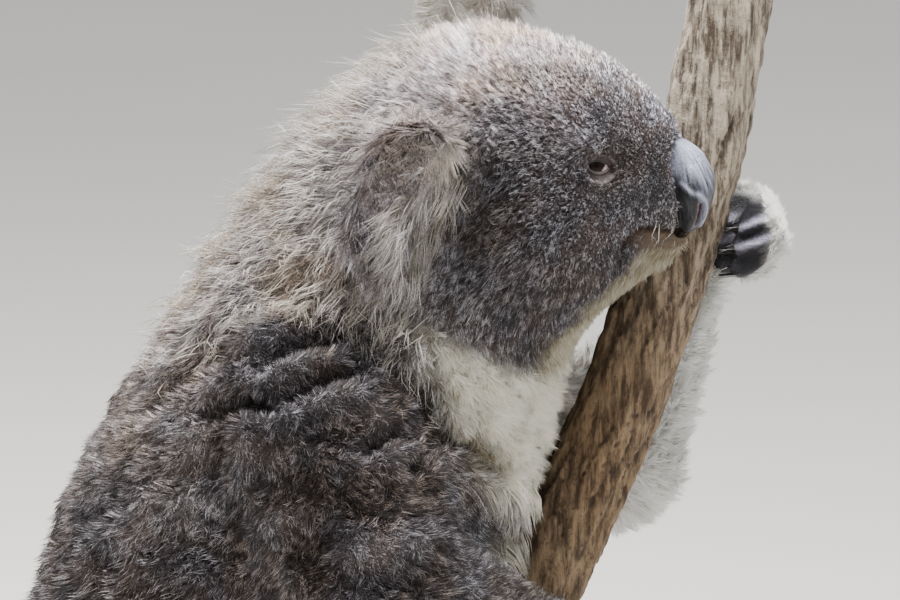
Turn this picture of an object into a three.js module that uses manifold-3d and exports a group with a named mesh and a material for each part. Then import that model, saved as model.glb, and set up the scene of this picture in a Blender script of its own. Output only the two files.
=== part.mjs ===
// A koala at life size, hugging a cut length of a leaning tree stem that stands on a plain display stand.
// Millimetres, +Z up. +X is the way the koala faces, +Y is its left. The origin is the middle of the
// underside of the stand's base. The outlines of the body are those of the tips of its coat.
import * as THREE from "three";
import { mergeVertices } from "three/addons/utils/BufferGeometryUtils.js";
import Module from "manifold-3d";

const wasm = await Module();
wasm.setup();

const GAP = 0.5; // clearance between solids that meet
const SIDES = { left: 1, right: -1 }; // the sign of Y on each side of the koala

const V = (x, y, z) => new THREE.Vector3(x, y, z);
const deg = THREE.MathUtils.degToRad;

// ---------------------------------------------------------------- solids from meshes, and back

function toSolid(geometry) {
  const bare = new THREE.BufferGeometry();
  bare.setAttribute("position", geometry.getAttribute("position"));
  if (geometry.index) bare.setIndex(geometry.index);
  const merged = mergeVertices(bare, 1e-3);
  return new wasm.Manifold(
    new wasm.Mesh({
      numProp: 3,
      vertProperties: new Float32Array(merged.attributes.position.array),
      triVerts: new Uint32Array(merged.index.array),
    }),
  );
}

function toGeometry(solid) {
  const mesh = solid.getMesh();
  const geometry = new THREE.BufferGeometry();
  geometry.setAttribute("position", new THREE.BufferAttribute(mesh.vertProperties, 3));
  geometry.setIndex(new THREE.BufferAttribute(mesh.triVerts, 1));
  geometry.computeVertexNormals();
  return geometry;
}

// Cutting can leave crumbs beside the body that is meant, so only the largest one is kept.
function largestBody(solid) {
  const bodies = solid.decompose();
  return bodies.reduce((best, body) => (body.volume() > best.volume() ? body : best));
}

// The part of a solid on the side of a plane that the normal points to.
function keepBeyond(solid, point, normal) {
  const size = 1400;
  const block = new THREE.BoxGeometry(size, size, size);
  block.translate(0, 0, size / 2);
  block.applyQuaternion(new THREE.Quaternion().setFromUnitVectors(V(0, 0, 1), normal.clone().normalize()));
  block.translate(point.x, point.y, point.z);
  return solid.intersect(toSolid(block));
}

// ---------------------------------------------------------------- distance fields of the body's masses

// About how far a point is outside an ellipsoid, negative inside.
function mass(centre, radii, turn = new THREE.Quaternion()) {
  const back = turn.clone().invert();
  const at = new THREE.Vector3();
  return (p) => {
    at.copy(p).sub(centre).applyQuaternion(back);
    const x = at.x / radii.x;
    const y = at.y / radii.y;
    const z = at.z / radii.z;
    const reach = Math.hypot(x, y, z);
    const slope = Math.hypot(x / radii.x, y / radii.y, z / radii.z);
    return reach < 1e-6 ? -Math.min(radii.x, radii.y, radii.z) : (reach * (reach - 1)) / slope;
  };
}

// A limb segment: a cone with round ends.
function limb(from, to, fromRadius, toRadius) {
  const along = to.clone().sub(from);
  const length2 = along.lengthSq();
  const at = new THREE.Vector3();
  return (p) => {
    at.copy(p).sub(from);
    const t = THREE.MathUtils.clamp(at.dot(along) / length2, 0, 1);
    return at.addScaledVector(along, -t).length() - THREE.MathUtils.lerp(fromRadius, toRadius, t);
  };
}

// Joins masses with a soft fillet of about the given width.
function blend(width, ...masses) {
  return (p) => {
    let nearest = masses[0](p);
    for (const m of masses.slice(1)) {
      const d = m(p);
      const h = Math.max(width - Math.abs(nearest - d), 0) / width;
      nearest = Math.min(nearest, d) - (h * h * width) / 4;
    }
    return nearest;
  };
}

// How far the field's surface is from a point inside it, along a direction.
function distanceOut(field, from, direction, reach) {
  const at = new THREE.Vector3();
  const isInside = (distance) => field(at.copy(from).addScaledVector(direction, distance)) < 0;
  const step = 4;
  let inside = 0;
  while (inside + step < reach && isInside(inside + step)) inside += step;
  let outside = inside + step;
  for (let i = 0; i < 10; i++) {
    const middle = (inside + outside) / 2;
    if (isInside(middle)) inside = middle;
    else outside = middle;
  }
  return Math.min(inside, reach);
}

// ---------------------------------------------------------------- closed bodies round an axis

// Rings of points with one more point at each end, as a closed surface that faces out.
function ringsToGeometry(start, rings, end) {
  const sides = rings[0].length;
  const points = [start, ...rings.flat(), end];
  const faces = [];
  const id = (ring, side) => 1 + ring * sides + (side % sides);
  for (let s = 0; s < sides; s++) {
    faces.push(0, id(0, s + 1), id(0, s));
    for (let r = 0; r + 1 < rings.length; r++) {
      faces.push(id(r, s), id(r, s + 1), id(r + 1, s + 1));
      faces.push(id(r, s), id(r + 1, s + 1), id(r + 1, s));
    }
    faces.push(points.length - 1, id(rings.length - 1, s), id(rings.length - 1, s + 1));
  }
  const geometry = new THREE.BufferGeometry();
  geometry.setAttribute(
    "position",
    new THREE.Float32BufferAttribute(points.flatMap((p) => p.toArray()), 3),
  );
  geometry.setIndex(faces);
  return geometry;
}

// The directions across an axis; `up` is kept as near as it can be to the reference direction.
function frameAt(axis, t, reference = V(0, 1, 0)) {
  const along = axis.getTangentAt(t);
  const up = reference.clone().addScaledVector(along, -along.dot(reference)).normalize();
  return { at: axis.getPointAt(t), along, up, side: along.clone().cross(up) };
}

// A body round an axis: each point lies on the field's surface, seen from the axis. Both ends are domes.
function bodyRound(field, axis, { sides, rings, domeRings = 3, reach, reference, grow = 0 }) {
  const surface = (from, direction) =>
    from.clone().addScaledVector(direction, distanceOut(field, from, direction, reach) + grow);
  const ring = (t, tilt) => {
    const { at, along, up, side } = frameAt(axis, t, reference);
    return Array.from({ length: sides }, (_, s) => {
      const angle = (2 * Math.PI * s) / sides;
      const direction = V(0, 0, 0)
        .addScaledVector(up, Math.cos(angle) * Math.cos(tilt))
        .addScaledVector(side, Math.sin(angle) * Math.cos(tilt))
        .addScaledVector(along, Math.sin(tilt));
      return surface(at, direction);
    });
  };
  const tilts = Array.from({ length: domeRings }, (_, i) => ((i + 1) * Math.PI) / 2 / (domeRings + 1));
  const first = frameAt(axis, 0, reference);
  const last = frameAt(axis, 1, reference);
  return ringsToGeometry(
    surface(first.at, first.along.clone().negate()),
    [
      ...tilts.map((tilt) => ring(0, tilt - Math.PI / 2)),
      ...Array.from({ length: rings }, (_, i) => ring(i / (rings - 1), 0)),
      ...tilts.map((tilt) => ring(1, tilt)),
    ],
    surface(last.at, last.along),
  );
}

// A round tube along a curve, its radius given by a function of the way along, with domed ends.
function taperedTube(curve, radiusAt, { sides, rings, reference, grow = 0 }) {
  const ring = (t, radius, shift = 0) => {
    const { at, along, up, side } = frameAt(curve, t, reference);
    return Array.from({ length: sides }, (_, s) => {
      const angle = (2 * Math.PI * s) / sides;
      return at
        .clone()
        .addScaledVector(along, shift)
        .addScaledVector(up, Math.cos(angle) * radius)
        .addScaledVector(side, Math.sin(angle) * radius);
    });
  };
  const dome = 0.7; // how far along and across the one ring of each dome sits
  const first = frameAt(curve, 0, reference);
  const last = frameAt(curve, 1, reference);
  const startRadius = radiusAt(0) + grow;
  const endRadius = radiusAt(1) + grow;
  const middle = Array.from({ length: rings }, (_, i) => i / (rings - 1));
  return ringsToGeometry(
    first.at.clone().addScaledVector(first.along, -startRadius),
    [
      ring(0, startRadius * dome, -startRadius * dome),
      ...middle.map((t) => ring(t, radiusAt(t) + grow)),
      ring(1, endRadius * dome, endRadius * dome),
    ],
    last.at.clone().addScaledVector(last.along, endRadius),
  );
}

// ---------------------------------------------------------------- materials

const finish = (color, roughness, metalness = 0) =>
  new THREE.MeshStandardMaterial({ color, roughness, metalness });
const greyFur = finish(0x6f6763, 0.95);
const paleFur = finish(0xb9b2a6, 0.95);
const noseSkin = finish(0x3c3a40, 0.5);
const eyeball = finish(0x1c100b, 0.1);
const clawHorn = finish(0x17130f, 0.4);
const bark = finish(0x8c7860, 0.9);
const stainedWood = finish(0x4a3425, 0.55);
const steel = finish(0x9a9da0, 0.35, 0.9);

// ---------------------------------------------------------------- putting the pieces together

const koala = new THREE.Group();
const placed = []; // what stands already, each a little grown, for later pieces to be cut back from

// Adds a piece. `shape(grow)` makes it with its surface moved out by `grow`.
function place(name, material, shape) {
  const solid = largestBody(placed.reduce((rest, earlier) => rest.subtract(earlier), shape(0)));
  const mesh = new THREE.Mesh(toGeometry(solid), material);
  mesh.name = name;
  koala.add(mesh);
  placed.push(shape(GAP));
}

// ---------------------------------------------------------------- the stem it clings to

// It leans 22 degrees at its foot and straightens towards its top.
const STEM_SIDES = 14;
const STEM_RINGS = 12;
const stemRadius = (t) => 23.5 - 3 * t + 0.8 * Math.sin(17 * t) + 0.5 * Math.sin(41 * t);
const stemAxis = new THREE.CatmullRomCurve3(
  [
    V(-29, 0, 70),
    V(11, 0, 170),
    V(55, 0, 278),
    V(97, 0, 380),
    V(136, 0, 464),
    V(160, 0, 538),
    V(181, 0, 617),
    V(195, 0, 710),
  ],
  false,
  "centripetal",
);
const stemLength = stemAxis.getLength();
const STEM_FOOT = 80; // the heights of its two level saw cuts
const STEM_TOP = 695;
function stemShape(grow) {
  const stem = toSolid(taperedTube(stemAxis, stemRadius, { sides: STEM_SIDES, rings: STEM_RINGS, grow }));
  const above = keepBeyond(stem, V(0, 0, STEM_FOOT - grow), V(0, 0, 1));
  return keepBeyond(above, V(0, 0, STEM_TOP + grow), V(0, 0, -1));
}
place("perch_stem", bark, stemShape);

// A point beside the stem: `rise` up its length, `angle` round it (0 is its front, 90 its left), and
// `out` from its axis.
function besideStem(rise, angle, out) {
  const { at, up, side } = frameAt(stemAxis, THREE.MathUtils.clamp(rise / stemLength, 0, 1));
  at.addScaledVector(side, -Math.cos(deg(angle)) * out);
  return at.addScaledVector(up, Math.sin(deg(angle)) * out);
}

// ---------------------------------------------------------------- the stand

const BASE = { length: 420, width: 300, thickness: 24, corner: 50, bevel: 3 };
const ROD = { radius: 8, x: -24, sides: 16 };

function baseShape(grow) {
  const { length, width, thickness, corner, bevel } = BASE;
  const x = length / 2 - bevel + grow;
  const y = width / 2 - bevel + grow;
  const plan = new THREE.Shape();
  plan.moveTo(-x + corner, -y);
  plan.lineTo(x - corner, -y);
  plan.absarc(x - corner, -y + corner, corner, -Math.PI / 2, 0);
  plan.lineTo(x, y - corner);
  plan.absarc(x - corner, y - corner, corner, 0, Math.PI / 2);
  plan.lineTo(-x + corner, y);
  plan.absarc(-x + corner, y - corner, corner, Math.PI / 2, Math.PI);
  plan.lineTo(-x, -y + corner);
  plan.absarc(-x + corner, -y + corner, corner, Math.PI, 1.5 * Math.PI);
  const slab = new THREE.ExtrudeGeometry(plan, {
    depth: thickness - 2 * bevel + grow,
    bevelThickness: bevel,
    bevelSize: bevel,
    bevelSegments: 1,
    curveSegments: 4,
  });
  slab.translate(0, 0, bevel);
  return toSolid(slab);
}
place("stand_base", stainedWood, baseShape);

function rodShape(grow) {
  const length = STEM_FOOT - BASE.thickness - 2 * GAP;
  const rod = new THREE.CylinderGeometry(ROD.radius + grow, ROD.radius + grow, length, ROD.sides);
  rod.rotateX(Math.PI / 2);
  rod.translate(ROD.x, 0, BASE.thickness + GAP + length / 2);
  return toSolid(rod);
}
place("stand_rod", steel, rodShape);

// ---------------------------------------------------------------- the head's own frame

// The head is turned 12 degrees to its right and leans over to that side. Ahead, left and up are x, y and z.
const HEAD_CENTRE = V(84, -25, 591);
const HEAD_TURN = new THREE.Quaternion().setFromEuler(new THREE.Euler(deg(20), 0, deg(-12), "ZYX"));
const inHead = (x, y, z) => V(x, y, z).applyQuaternion(HEAD_TURN).add(HEAD_CENTRE);
const headMass = (x, y, z, ...radii) => mass(inHead(x, y, z), V(...radii), HEAD_TURN);

const EYE = { ahead: 49, aside: 34, up: 20, radius: 8 };
for (const [name, side] of Object.entries(SIDES)) {
  place(`eye_${name}`, eyeball, (grow) => {
    const ball = new THREE.SphereGeometry(EYE.radius + grow, 10, 7);
    const at = inHead(EYE.ahead, side * EYE.aside, EYE.up);
    return toSolid(ball.translate(at.x, at.y, at.z));
  });
}

// The bare nose pad: tall, broadest at the nostrils, and bulging forward.
const noseField = blend(
  8,
  headMass(75, 0, 3, 16, 13, 11),
  headMass(83, 0, -10, 15, 15, 18),
  headMass(80, 8, -18, 12, 10, 13),
  headMass(80, -8, -18, 12, 10, 13),
);
place("nose", noseSkin, (grow) => {
  const axis = new THREE.LineCurve3(inHead(80, 0, -20), inHead(79, 0, 3));
  return toSolid(bodyRound(noseField, axis, { sides: 12, rings: 4, domeRings: 2, reach: 40, grow }));
});

// ---------------------------------------------------------------- hands and feet

// Each grips the stem at a height `rise` up it, with its palm at the angle `round` from the stem's front.
// Digits close round the front, or round the koala's side of the stem. The first toe has no claw.
const FRONT = { from: -14, knuckle: -52, to: -108 };
const BACK = { from: 17, knuckle: 40, to: 64, bow: 13 };
const PAWS = {
  hand_left: {
    ...{ rise: 522, round: 52, reach: 0.67, side: 1, palm: [25, 20, 15], back: [9, -9] },
    ...{ front: [22, 6, -6], tips: [14, 3, -9], bows: [14, 30, 23], digit: [8.5, 7] },
  },
  hand_right: {
    ...{ rise: 290, round: 24, reach: 1, side: -1, palm: [27, 20, 15], back: [] },
    ...{ front: [33, 17, 1, -15, -29], tips: [32, 14, -5, -23, -39] },
    ...{ bows: [20, 23, 23, 22, 18], digit: [7.5, 6] },
  },
  foot_left: {
    ...{ rise: 72, round: 78, reach: 1, side: 1, palm: [34, 22, 16], back: [-6] },
    ...{ front: [26, 14, -4, -22], tips: [22, 10, -10, -30], bows: [20, 22, 23, 21], digit: [7.5, 6] },
  },
  foot_right: {
    ...{ rise: 122, round: 78, reach: 1, side: -1, palm: [34, 22, 16], back: [-6] },
    ...{ front: [26, 14, -4, -22], tips: [22, 10, -10, -30], bows: [20, 22, 23, 21], digit: [7.5, 6] },
  },
};
const CLAW = { length: 26, radius: 3.4, tip: 0.6 };

for (const [name, paw] of Object.entries(PAWS)) {
  const { rise, round, reach, side, palm, back, front, tips, bows } = paw;
  const [rootRadius, tipRadius] = paw.digit;
  const skinRadius = stemRadius(rise / stemLength) + 1.5;
  const along = stemAxis.getTangentAt(rise / stemLength);
  const isHand = name.startsWith("hand");
  const digits = [
    ...back.map((offset) => ({ way: BACK, offset, tip: offset - 6, bow: BACK.bow, clawed: isHand })),
    ...front.map((offset, i) => ({ way: FRONT, offset, tip: tips[i], bow: bows[i], clawed: true })),
  ];
  const at = (offset, angle, out) => {
    const turn = angle < 0 ? angle * reach : angle;
    return besideStem(rise + offset, side * (round + turn), skinRadius + out);
  };
  const fingerCurve = ({ way, offset, tip, bow }) =>
    new THREE.CatmullRomCurve3([
      at(offset * 0.8, way.from, 16),
      at(offset, way.knuckle, bow),
      at(tip, way.to, tipRadius + 2),
    ]);
  const clawCurve = ({ way, tip }) => {
    const turn = Math.sign(way.to) * (CLAW.length / (skinRadius + 8)) * (180 / Math.PI) * reach ** 2;
    return new THREE.CatmullRomCurve3([
      at(tip, way.to, tipRadius + 4),
      at(tip - 2, way.to + turn * 0.55, tipRadius + 3),
      at(tip - 6, way.to + turn, 0.8),
    ]);
  };
  digits
    .filter(({ clawed }) => clawed)
    .forEach((one, i) => {
      const radiusAt = (t) => THREE.MathUtils.lerp(CLAW.radius, CLAW.tip, t);
      const size = { sides: 4, rings: 2, reference: along };
      place(`claw_${name}_${i + 1}`, clawHorn, (grow) =>
        toSolid(taperedTube(clawCurve(one), radiusAt, { ...size, grow })),
      );
    });
  place(name, greyFur, (grow) => {
    const [long, wide, deep] = palm.map((radius) => radius + grow);
    const out = besideStem(rise, side * round, 1).sub(stemAxis.getPointAt(rise / stemLength));
    const ball = new THREE.SphereGeometry(1, 8, 6);
    ball.scale(deep, wide, long);
    ball.applyMatrix4(new THREE.Matrix4().makeBasis(out, along.clone().cross(out), along));
    const centre = at(2, 0, palm[2] + 12 * (1 - reach));
    ball.translate(centre.x, centre.y, centre.z);
    return digits.reduce((hand, one) => {
      const radiusAt = (t) => THREE.MathUtils.lerp(rootRadius, tipRadius, t);
      const size = { sides: 6, rings: 3, reference: along, grow };
      return hand.add(toSolid(taperedTube(fingerCurve(one), radiusAt, size)));
    }, toSolid(ball));
  });
}

// ---------------------------------------------------------------- head, neck and trunk, one smooth body

const headField = blend(
  24,
  headMass(-8, 0, 4, 76, 66, 65), // skull
  headMass(38, 0, 7, 43, 36, 41), // forehead
  headMass(56, 0, -14, 30, 27, 24), // muzzle
  headMass(8, 34, -26, 54, 38, 44), // cheeks
  headMass(8, -34, -26, 54, 38, 44),
  headMass(46, 0, -37, 37, 25, 19), // chin
);
const leaning = (angle) => new THREE.Quaternion().setFromAxisAngle(V(0, 1, 0), deg(angle));
const trunkField = blend(
  50,
  mass(V(38, -8, 542), V(84, 78, 82)), // neck and nape
  mass(V(5, 0, 462), V(100, 98, 90), leaning(20)), // chest
  mass(V(-35, 0, 385), V(108, 110, 96), leaning(20)), // ribs
  mass(V(-66, 0, 300), V(102, 120, 96), leaning(10)), // belly
  mass(V(-84, 0, 225), V(80, 120, 78)), // hips
  mass(V(-84, 0, 172), V(58, 96, 52)), // rump
);
const bodyField = blend(30, trunkField, headField);

const headAxis = new THREE.LineCurve3(inHead(-20, 0, -4), inHead(50, 0, -8));
const trunkAxis = new THREE.CatmullRomCurve3([
  V(-76, 0, 190),
  V(-76, 0, 240),
  V(-60, 0, 310),
  V(-30, 0, 385),
  V(5, 0, 460),
  V(55, -10, 545),
]);
// Where the trunk is parted, from the rump to the back of the skull: a point of each cut and the way up.
const CUTS = [
  { at: V(-70, 0, 262), up: V(0.2, 0, 1) },
  { at: V(-32, 0, 380), up: V(0.42, 0, 1) },
  { at: V(20, 0, 490), up: V(0.7, 0, 1) },
  { at: V(51, -10.5, 546), up: V(0.57, -0.25, 0.78) },
];
const above = (solid, { at, up }, shift) =>
  keepBeyond(solid, at.clone().addScaledVector(up.clone().normalize(), shift), up);
const below = (solid, { at, up }, shift) =>
  keepBeyond(solid, at.clone().addScaledVector(up.clone().normalize(), -shift), up.clone().negate());

function headSolid(grow) {
  const size = { sides: 18, rings: 6, domeRings: 4, reach: 125, grow };
  return above(toSolid(bodyRound(bodyField, headAxis, size)), CUTS[3], -grow);
}
function trunkSolid(grow) {
  return toSolid(bodyRound(bodyField, trunkAxis, { sides: 18, rings: 8, domeRings: 2, reach: 150, grow }));
}

// The mouth is a thin cut from the lips back to the corner, and on down behind the chin.
function mouthCut() {
  const line = [
    [120, -36],
    [86, -33],
    [75, -24],
    [60, -15],
    [57, -33],
    [38, -110],
  ];
  const half = GAP / 2;
  const cut = new THREE.Shape([
    ...line.map(([x, z]) => new THREE.Vector2(x - half, z + half)),
    ...line.toReversed().map(([x, z]) => new THREE.Vector2(x + half, z - half)),
  ]);
  const slab = new THREE.ExtrudeGeometry(cut, { depth: 140, bevelEnabled: false });
  slab.translate(0, 0, -70);
  slab.rotateX(Math.PI / 2);
  slab.applyQuaternion(HEAD_TURN);
  slab.translate(HEAD_CENTRE.x, HEAD_CENTRE.y, HEAD_CENTRE.z);
  return toSolid(slab);
}
function eyeSocket(side) {
  const hollow = new THREE.SphereGeometry(1, 10, 6);
  hollow.scale(9, 9, 7);
  hollow.applyQuaternion(HEAD_TURN);
  const at = inHead(EYE.ahead + 2, side * (EYE.aside + 8), EYE.up);
  return toSolid(hollow.translate(at.x, at.y, at.z));
}
function splitHead(grow) {
  const parts = headSolid(grow).subtract(mouthCut()).decompose();
  const [skull, jaw] = parts.sort((a, b) => b.volume() - a.volume());
  return { skull, jaw };
}
place("head", greyFur, (grow) =>
  splitHead(grow).skull.subtract(eyeSocket(SIDES.right)).subtract(eyeSocket(SIDES.left)),
);
place("lower_jaw", paleFur, (grow) => splitHead(grow).jaw);
place("neck", greyFur, (grow) => above(below(trunkSolid(grow), CUTS[3], GAP - grow), CUTS[2], GAP - grow));
place("chest", paleFur, (grow) => above(below(trunkSolid(grow), CUTS[2], 0), CUTS[1], GAP - grow));
place("belly", greyFur, (grow) => above(below(trunkSolid(grow), CUTS[1], 0), CUTS[0], GAP - grow));
place("rump", greyFur, (grow) => below(trunkSolid(grow), CUTS[0], 0));

// ---------------------------------------------------------------- ears

// Each has a long fringe. The right one hangs with the lean of the head, the left one stands up.
const EARS = {
  right: blend(16, headMass(-28, -72, 38, 34, 24, 32), headMass(-42, -86, 6, 30, 18, 34)),
  left: blend(20, headMass(-28, 72, 40, 34, 26, 36), headMass(-32, 88, 42, 32, 22, 38)),
};
for (const [name, side] of Object.entries(SIDES)) {
  place(`ear_${name}`, paleFur, (grow) => {
    const axis = new THREE.LineCurve3(inHead(-30, side * 68, 38), inHead(-38, side * 88, 20));
    const size = { sides: 11, rings: 2, domeRings: 2, reach: 70, reference: V(1, 0, 0), grow };
    return toSolid(bodyRound(EARS[name], axis, size));
  });
}

// ---------------------------------------------------------------- limbs

// The joints of each limb and its radius there, coat included.
const LIMBS = {
  arm_left: {
    names: ["upper_arm_left", "forearm_left"],
    joints: [V(26, 62, 470), V(132, 72, 430), V(174, 46, 530)],
    radii: [60, 39, 20],
  },
  arm_right: {
    names: ["upper_arm_right", "forearm_right"],
    joints: [V(-8, -70, 470), V(22, -112, 392), V(112, -48, 352)],
    radii: [60, 52, 27],
  },
  leg_left: {
    names: ["thigh_left", "shank_left"],
    joints: [V(-62, 62, 204), V(44, 98, 238), V(2, 50, 156)],
    radii: [66, 50, 30],
  },
  leg_right: {
    names: ["thigh_right", "shank_right"],
    joints: [V(-62, -62, 210), V(60, -98, 272), V(24, -50, 202)],
    radii: [66, 50, 30],
  },
};
for (const { names, joints, radii } of Object.values(LIMBS)) {
  names.forEach((name, i) => {
    const field = limb(joints[i], joints[i + 1], radii[i], radii[i + 1]);
    const axis = new THREE.LineCurve3(joints[i], joints[i + 1]);
    const size = { sides: 10, rings: 2, domeRings: 2, reach: 120 };
    place(name, greyFur, (grow) => toSolid(bodyRound(field, axis, { ...size, grow })));
  });
}

export default koala;
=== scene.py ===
import math

import bmesh
import bpy
import numpy as np
from mathutils import Matrix, Vector
from mathutils.bvhtree import BVHTree
from mathutils.kdtree import KDTree


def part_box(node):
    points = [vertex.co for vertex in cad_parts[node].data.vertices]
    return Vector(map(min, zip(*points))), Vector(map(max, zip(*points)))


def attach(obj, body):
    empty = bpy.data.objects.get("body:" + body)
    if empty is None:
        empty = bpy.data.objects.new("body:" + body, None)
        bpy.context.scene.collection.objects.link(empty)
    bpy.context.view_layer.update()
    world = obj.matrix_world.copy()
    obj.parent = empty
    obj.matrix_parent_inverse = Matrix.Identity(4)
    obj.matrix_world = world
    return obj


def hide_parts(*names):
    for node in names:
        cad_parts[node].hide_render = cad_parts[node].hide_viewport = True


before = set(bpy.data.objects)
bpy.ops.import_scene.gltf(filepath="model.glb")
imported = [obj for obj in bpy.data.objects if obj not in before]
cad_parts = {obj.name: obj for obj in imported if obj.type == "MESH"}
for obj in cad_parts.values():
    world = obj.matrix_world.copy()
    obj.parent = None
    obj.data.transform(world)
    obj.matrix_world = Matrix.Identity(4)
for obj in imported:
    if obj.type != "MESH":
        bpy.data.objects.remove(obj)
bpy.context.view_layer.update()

# ============================================================ the view
# A long lens looks level with the koala's shoulder, from its right side and a little above,
# and closes in on its head, shoulder and the stem.

VIEW_HEIGHT = math.radians(10)
VIEW_DISTANCE = 4.5
look_at = Vector((0.055, 0, 0.520))
away = Vector((0, -math.cos(VIEW_HEIGHT), math.sin(VIEW_HEIGHT)))
camera = bpy.data.objects.new("camera", bpy.data.cameras.new("camera"))
camera.data.lens = 375
camera.data.sensor_width = 36
camera.data.clip_end = 100
camera.location = look_at + away * VIEW_DISTANCE
camera.rotation_euler = (-away).to_track_quat("-Z", "Y").to_euler()
bpy.context.scene.collection.objects.link(camera)
bpy.context.scene.camera = camera

# ============================================================ the skin
# One closed skin lies under the whole coat. It is the flesh of every part of the body joined without
# a seam, drawn in from the tips of the coat by the depth of the coat there.

FLESH = [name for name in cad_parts
         if not name.startswith(("claw", "eye", "nose", "perch", "stand"))]
SKIN_GRAIN = 0.0024  # the size of the skin's facets
CLOSING = 0.0010  # parts are swollen by this before they join, so that no slit stays between them
PAW_CLOSING = 0.0001  # the paws' parts are hardly swollen, so that their fingers stay apart
EYE_FILLING = -0.0012  # the eyeballs, a little shrunk, fill their sockets in the head


def arrays_of(mesh):
    """The vertices and the triangles of a mesh."""
    mesh.calc_loop_triangles()
    points = np.empty(len(mesh.vertices) * 3, np.float32)
    mesh.vertices.foreach_get("co", points)
    triangles = np.empty(len(mesh.loop_triangles) * 3, np.int32)
    mesh.loop_triangles.foreach_get("vertices", triangles)
    return points.reshape(-1, 3).astype(float), triangles.reshape(-1, 3)


def unit(vectors):
    return vectors / np.maximum(np.linalg.norm(vectors, axis=-1, keepdims=True), 1e-12)


def gather(index, values, size):
    """Sums values by index, column by column."""
    return np.stack([np.bincount(index, values[:, k], size) for k in range(values.shape[1])], 1)


def normals_of(points, triangles):
    a, b, c = (points[triangles[:, k]] for k in range(3))
    faces = np.cross(b - a, c - a)
    return unit(sum(gather(triangles[:, k], faces, len(points)) for k in range(3)))


def ease(low, high, x):
    """0 below low, 1 above high, and smooth between."""
    t = np.clip((np.asarray(x, float) - low) / (high - low), 0, 1)
    return t * t * (3 - 2 * t)


def blend(a, b, t):
    return a + (b - a) * t


def new_piece(name, points, faces):
    """A smooth mesh object that is fixed to the figure."""
    mesh = bpy.data.meshes.new(name)
    mesh.from_pydata(np.asarray(points).tolist(), [], np.asarray(faces).tolist())
    mesh.polygons.foreach_set("use_smooth", [True] * len(mesh.polygons))
    piece = bpy.data.objects.new(name, mesh)
    bpy.context.scene.collection.objects.link(piece)
    return piece


def remeshed(piece, grain):
    """The piece's mesh rebuilt as one even skin of small facets."""
    change = piece.modifiers.new("even", "REMESH")
    change.mode = "VOXEL"
    change.voxel_size = grain
    bpy.context.view_layer.update()
    done = piece.evaluated_get(bpy.context.evaluated_depsgraph_get())
    mesh = bpy.data.meshes.new_from_object(done)
    piece.modifiers.clear()
    old = piece.data
    piece.data = mesh
    bpy.data.meshes.remove(old)
    return mesh


class Surface:
    """A mesh's points as numbers, with what is needed to smooth and to sculpt them."""

    def __init__(self, mesh):
        self.mesh = mesh
        self.points, self.triangles = arrays_of(mesh)
        edges = np.empty(len(mesh.edges) * 2, np.int32)
        mesh.edges.foreach_get("vertices", edges)
        self.edges = edges.reshape(-1, 2)
        self.links = np.bincount(edges, minlength=len(self.points))[:, None]

    def relax(self, values, times, amount=0.5):
        """Draws each point's value towards the mean of its neighbours'."""
        flat = values.reshape(len(self.points), -1).astype(float)
        one, other = self.edges.T
        for _ in range(times):
            mean = gather(one, flat[other], len(flat)) + gather(other, flat[one], len(flat))
            flat = blend(flat, mean / self.links, amount)
        return flat.reshape(values.shape)

    def normals(self):
        return normals_of(self.points, self.triangles)

    def store(self):
        self.mesh.vertices.foreach_set("co", self.points.astype(np.float32).ravel())
        self.mesh.polygons.foreach_set("use_smooth", [True] * len(self.mesh.polygons))
        self.mesh.update()

    def note(self, **fields):
        """Keeps a number or a vector for each point, for the materials to read."""
        note_fields(self.mesh, **fields)


def note_fields(mesh, **fields):
    for name, values in fields.items():
        kind, key = ("FLOAT", "value") if values.ndim == 1 else ("FLOAT_VECTOR", "vector")
        data = mesh.attributes.new(name, kind, "POINT").data
        data.foreach_set(key, values.astype(np.float32).ravel())


def swollen(name, amount):
    """A solid's points, moved out by an amount in metres, and its triangles."""
    points, triangles = arrays_of(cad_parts[name].data)
    return points + normals_of(points, triangles) * amount, triangles


flesh_points, flesh_faces, flesh_part = [], [], []


def add_flesh(points, triangles, name):
    """Adds a closed piece of flesh to a part of the body."""
    flesh_faces.append(triangles + sum(map(len, flesh_points)))
    flesh_points.append(points)
    flesh_part.append(np.full(len(triangles), FLESH.index(name)))


for name in FLESH:
    add_flesh(*swollen(name, PAW_CLOSING if name.startswith(("hand", "foot")) else CLOSING), name)
for name in ("eye_left", "eye_right"):
    add_flesh(*swollen(name, EYE_FILLING), "head")

# A web of skin, a flattened ball, joins the far hand's fingers where they part round the stem.
WEB_MIDDLE, WEB_SIZE = (0.198, 0.0083, 0.5537), (0.020, 0.024, 0.014)
ball_points, ball_faces = arrays_of(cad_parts["eye_left"].data)
ball_points = (ball_points - ball_points.mean(0)) / np.ptp(ball_points, 0)
add_flesh(ball_points * WEB_SIZE + WEB_MIDDLE, ball_faces, "hand_left")
flesh_points, flesh_faces = np.concatenate(flesh_points), np.concatenate(flesh_faces)
flesh_part = np.concatenate(flesh_part)


def centre(node):
    low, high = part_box(node)
    return (low + high) / 2


# The head's own directions: ahead, left and up. Places on the head are in millimetres from its middle.
HEAD_TURN = Matrix.Rotation(math.radians(-12), 3, "Z") @ Matrix.Rotation(math.radians(20), 3, "X")
EYE_PLACE = Vector((0.049, 0, 0.020))
between_eyes = (centre("eye_left") + centre("eye_right")) / 2
head_middle = np.array(between_eyes - HEAD_TURN @ EYE_PLACE)
head_turn = np.array(HEAD_TURN)


def on_head(points):
    """Millimetres ahead, left and up of the middle of the head."""
    return (np.asarray(points) - head_middle) @ head_turn * 1000


def from_head(places):
    return head_middle + (np.asarray(places, float) / 1000) @ head_turn.T


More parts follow.
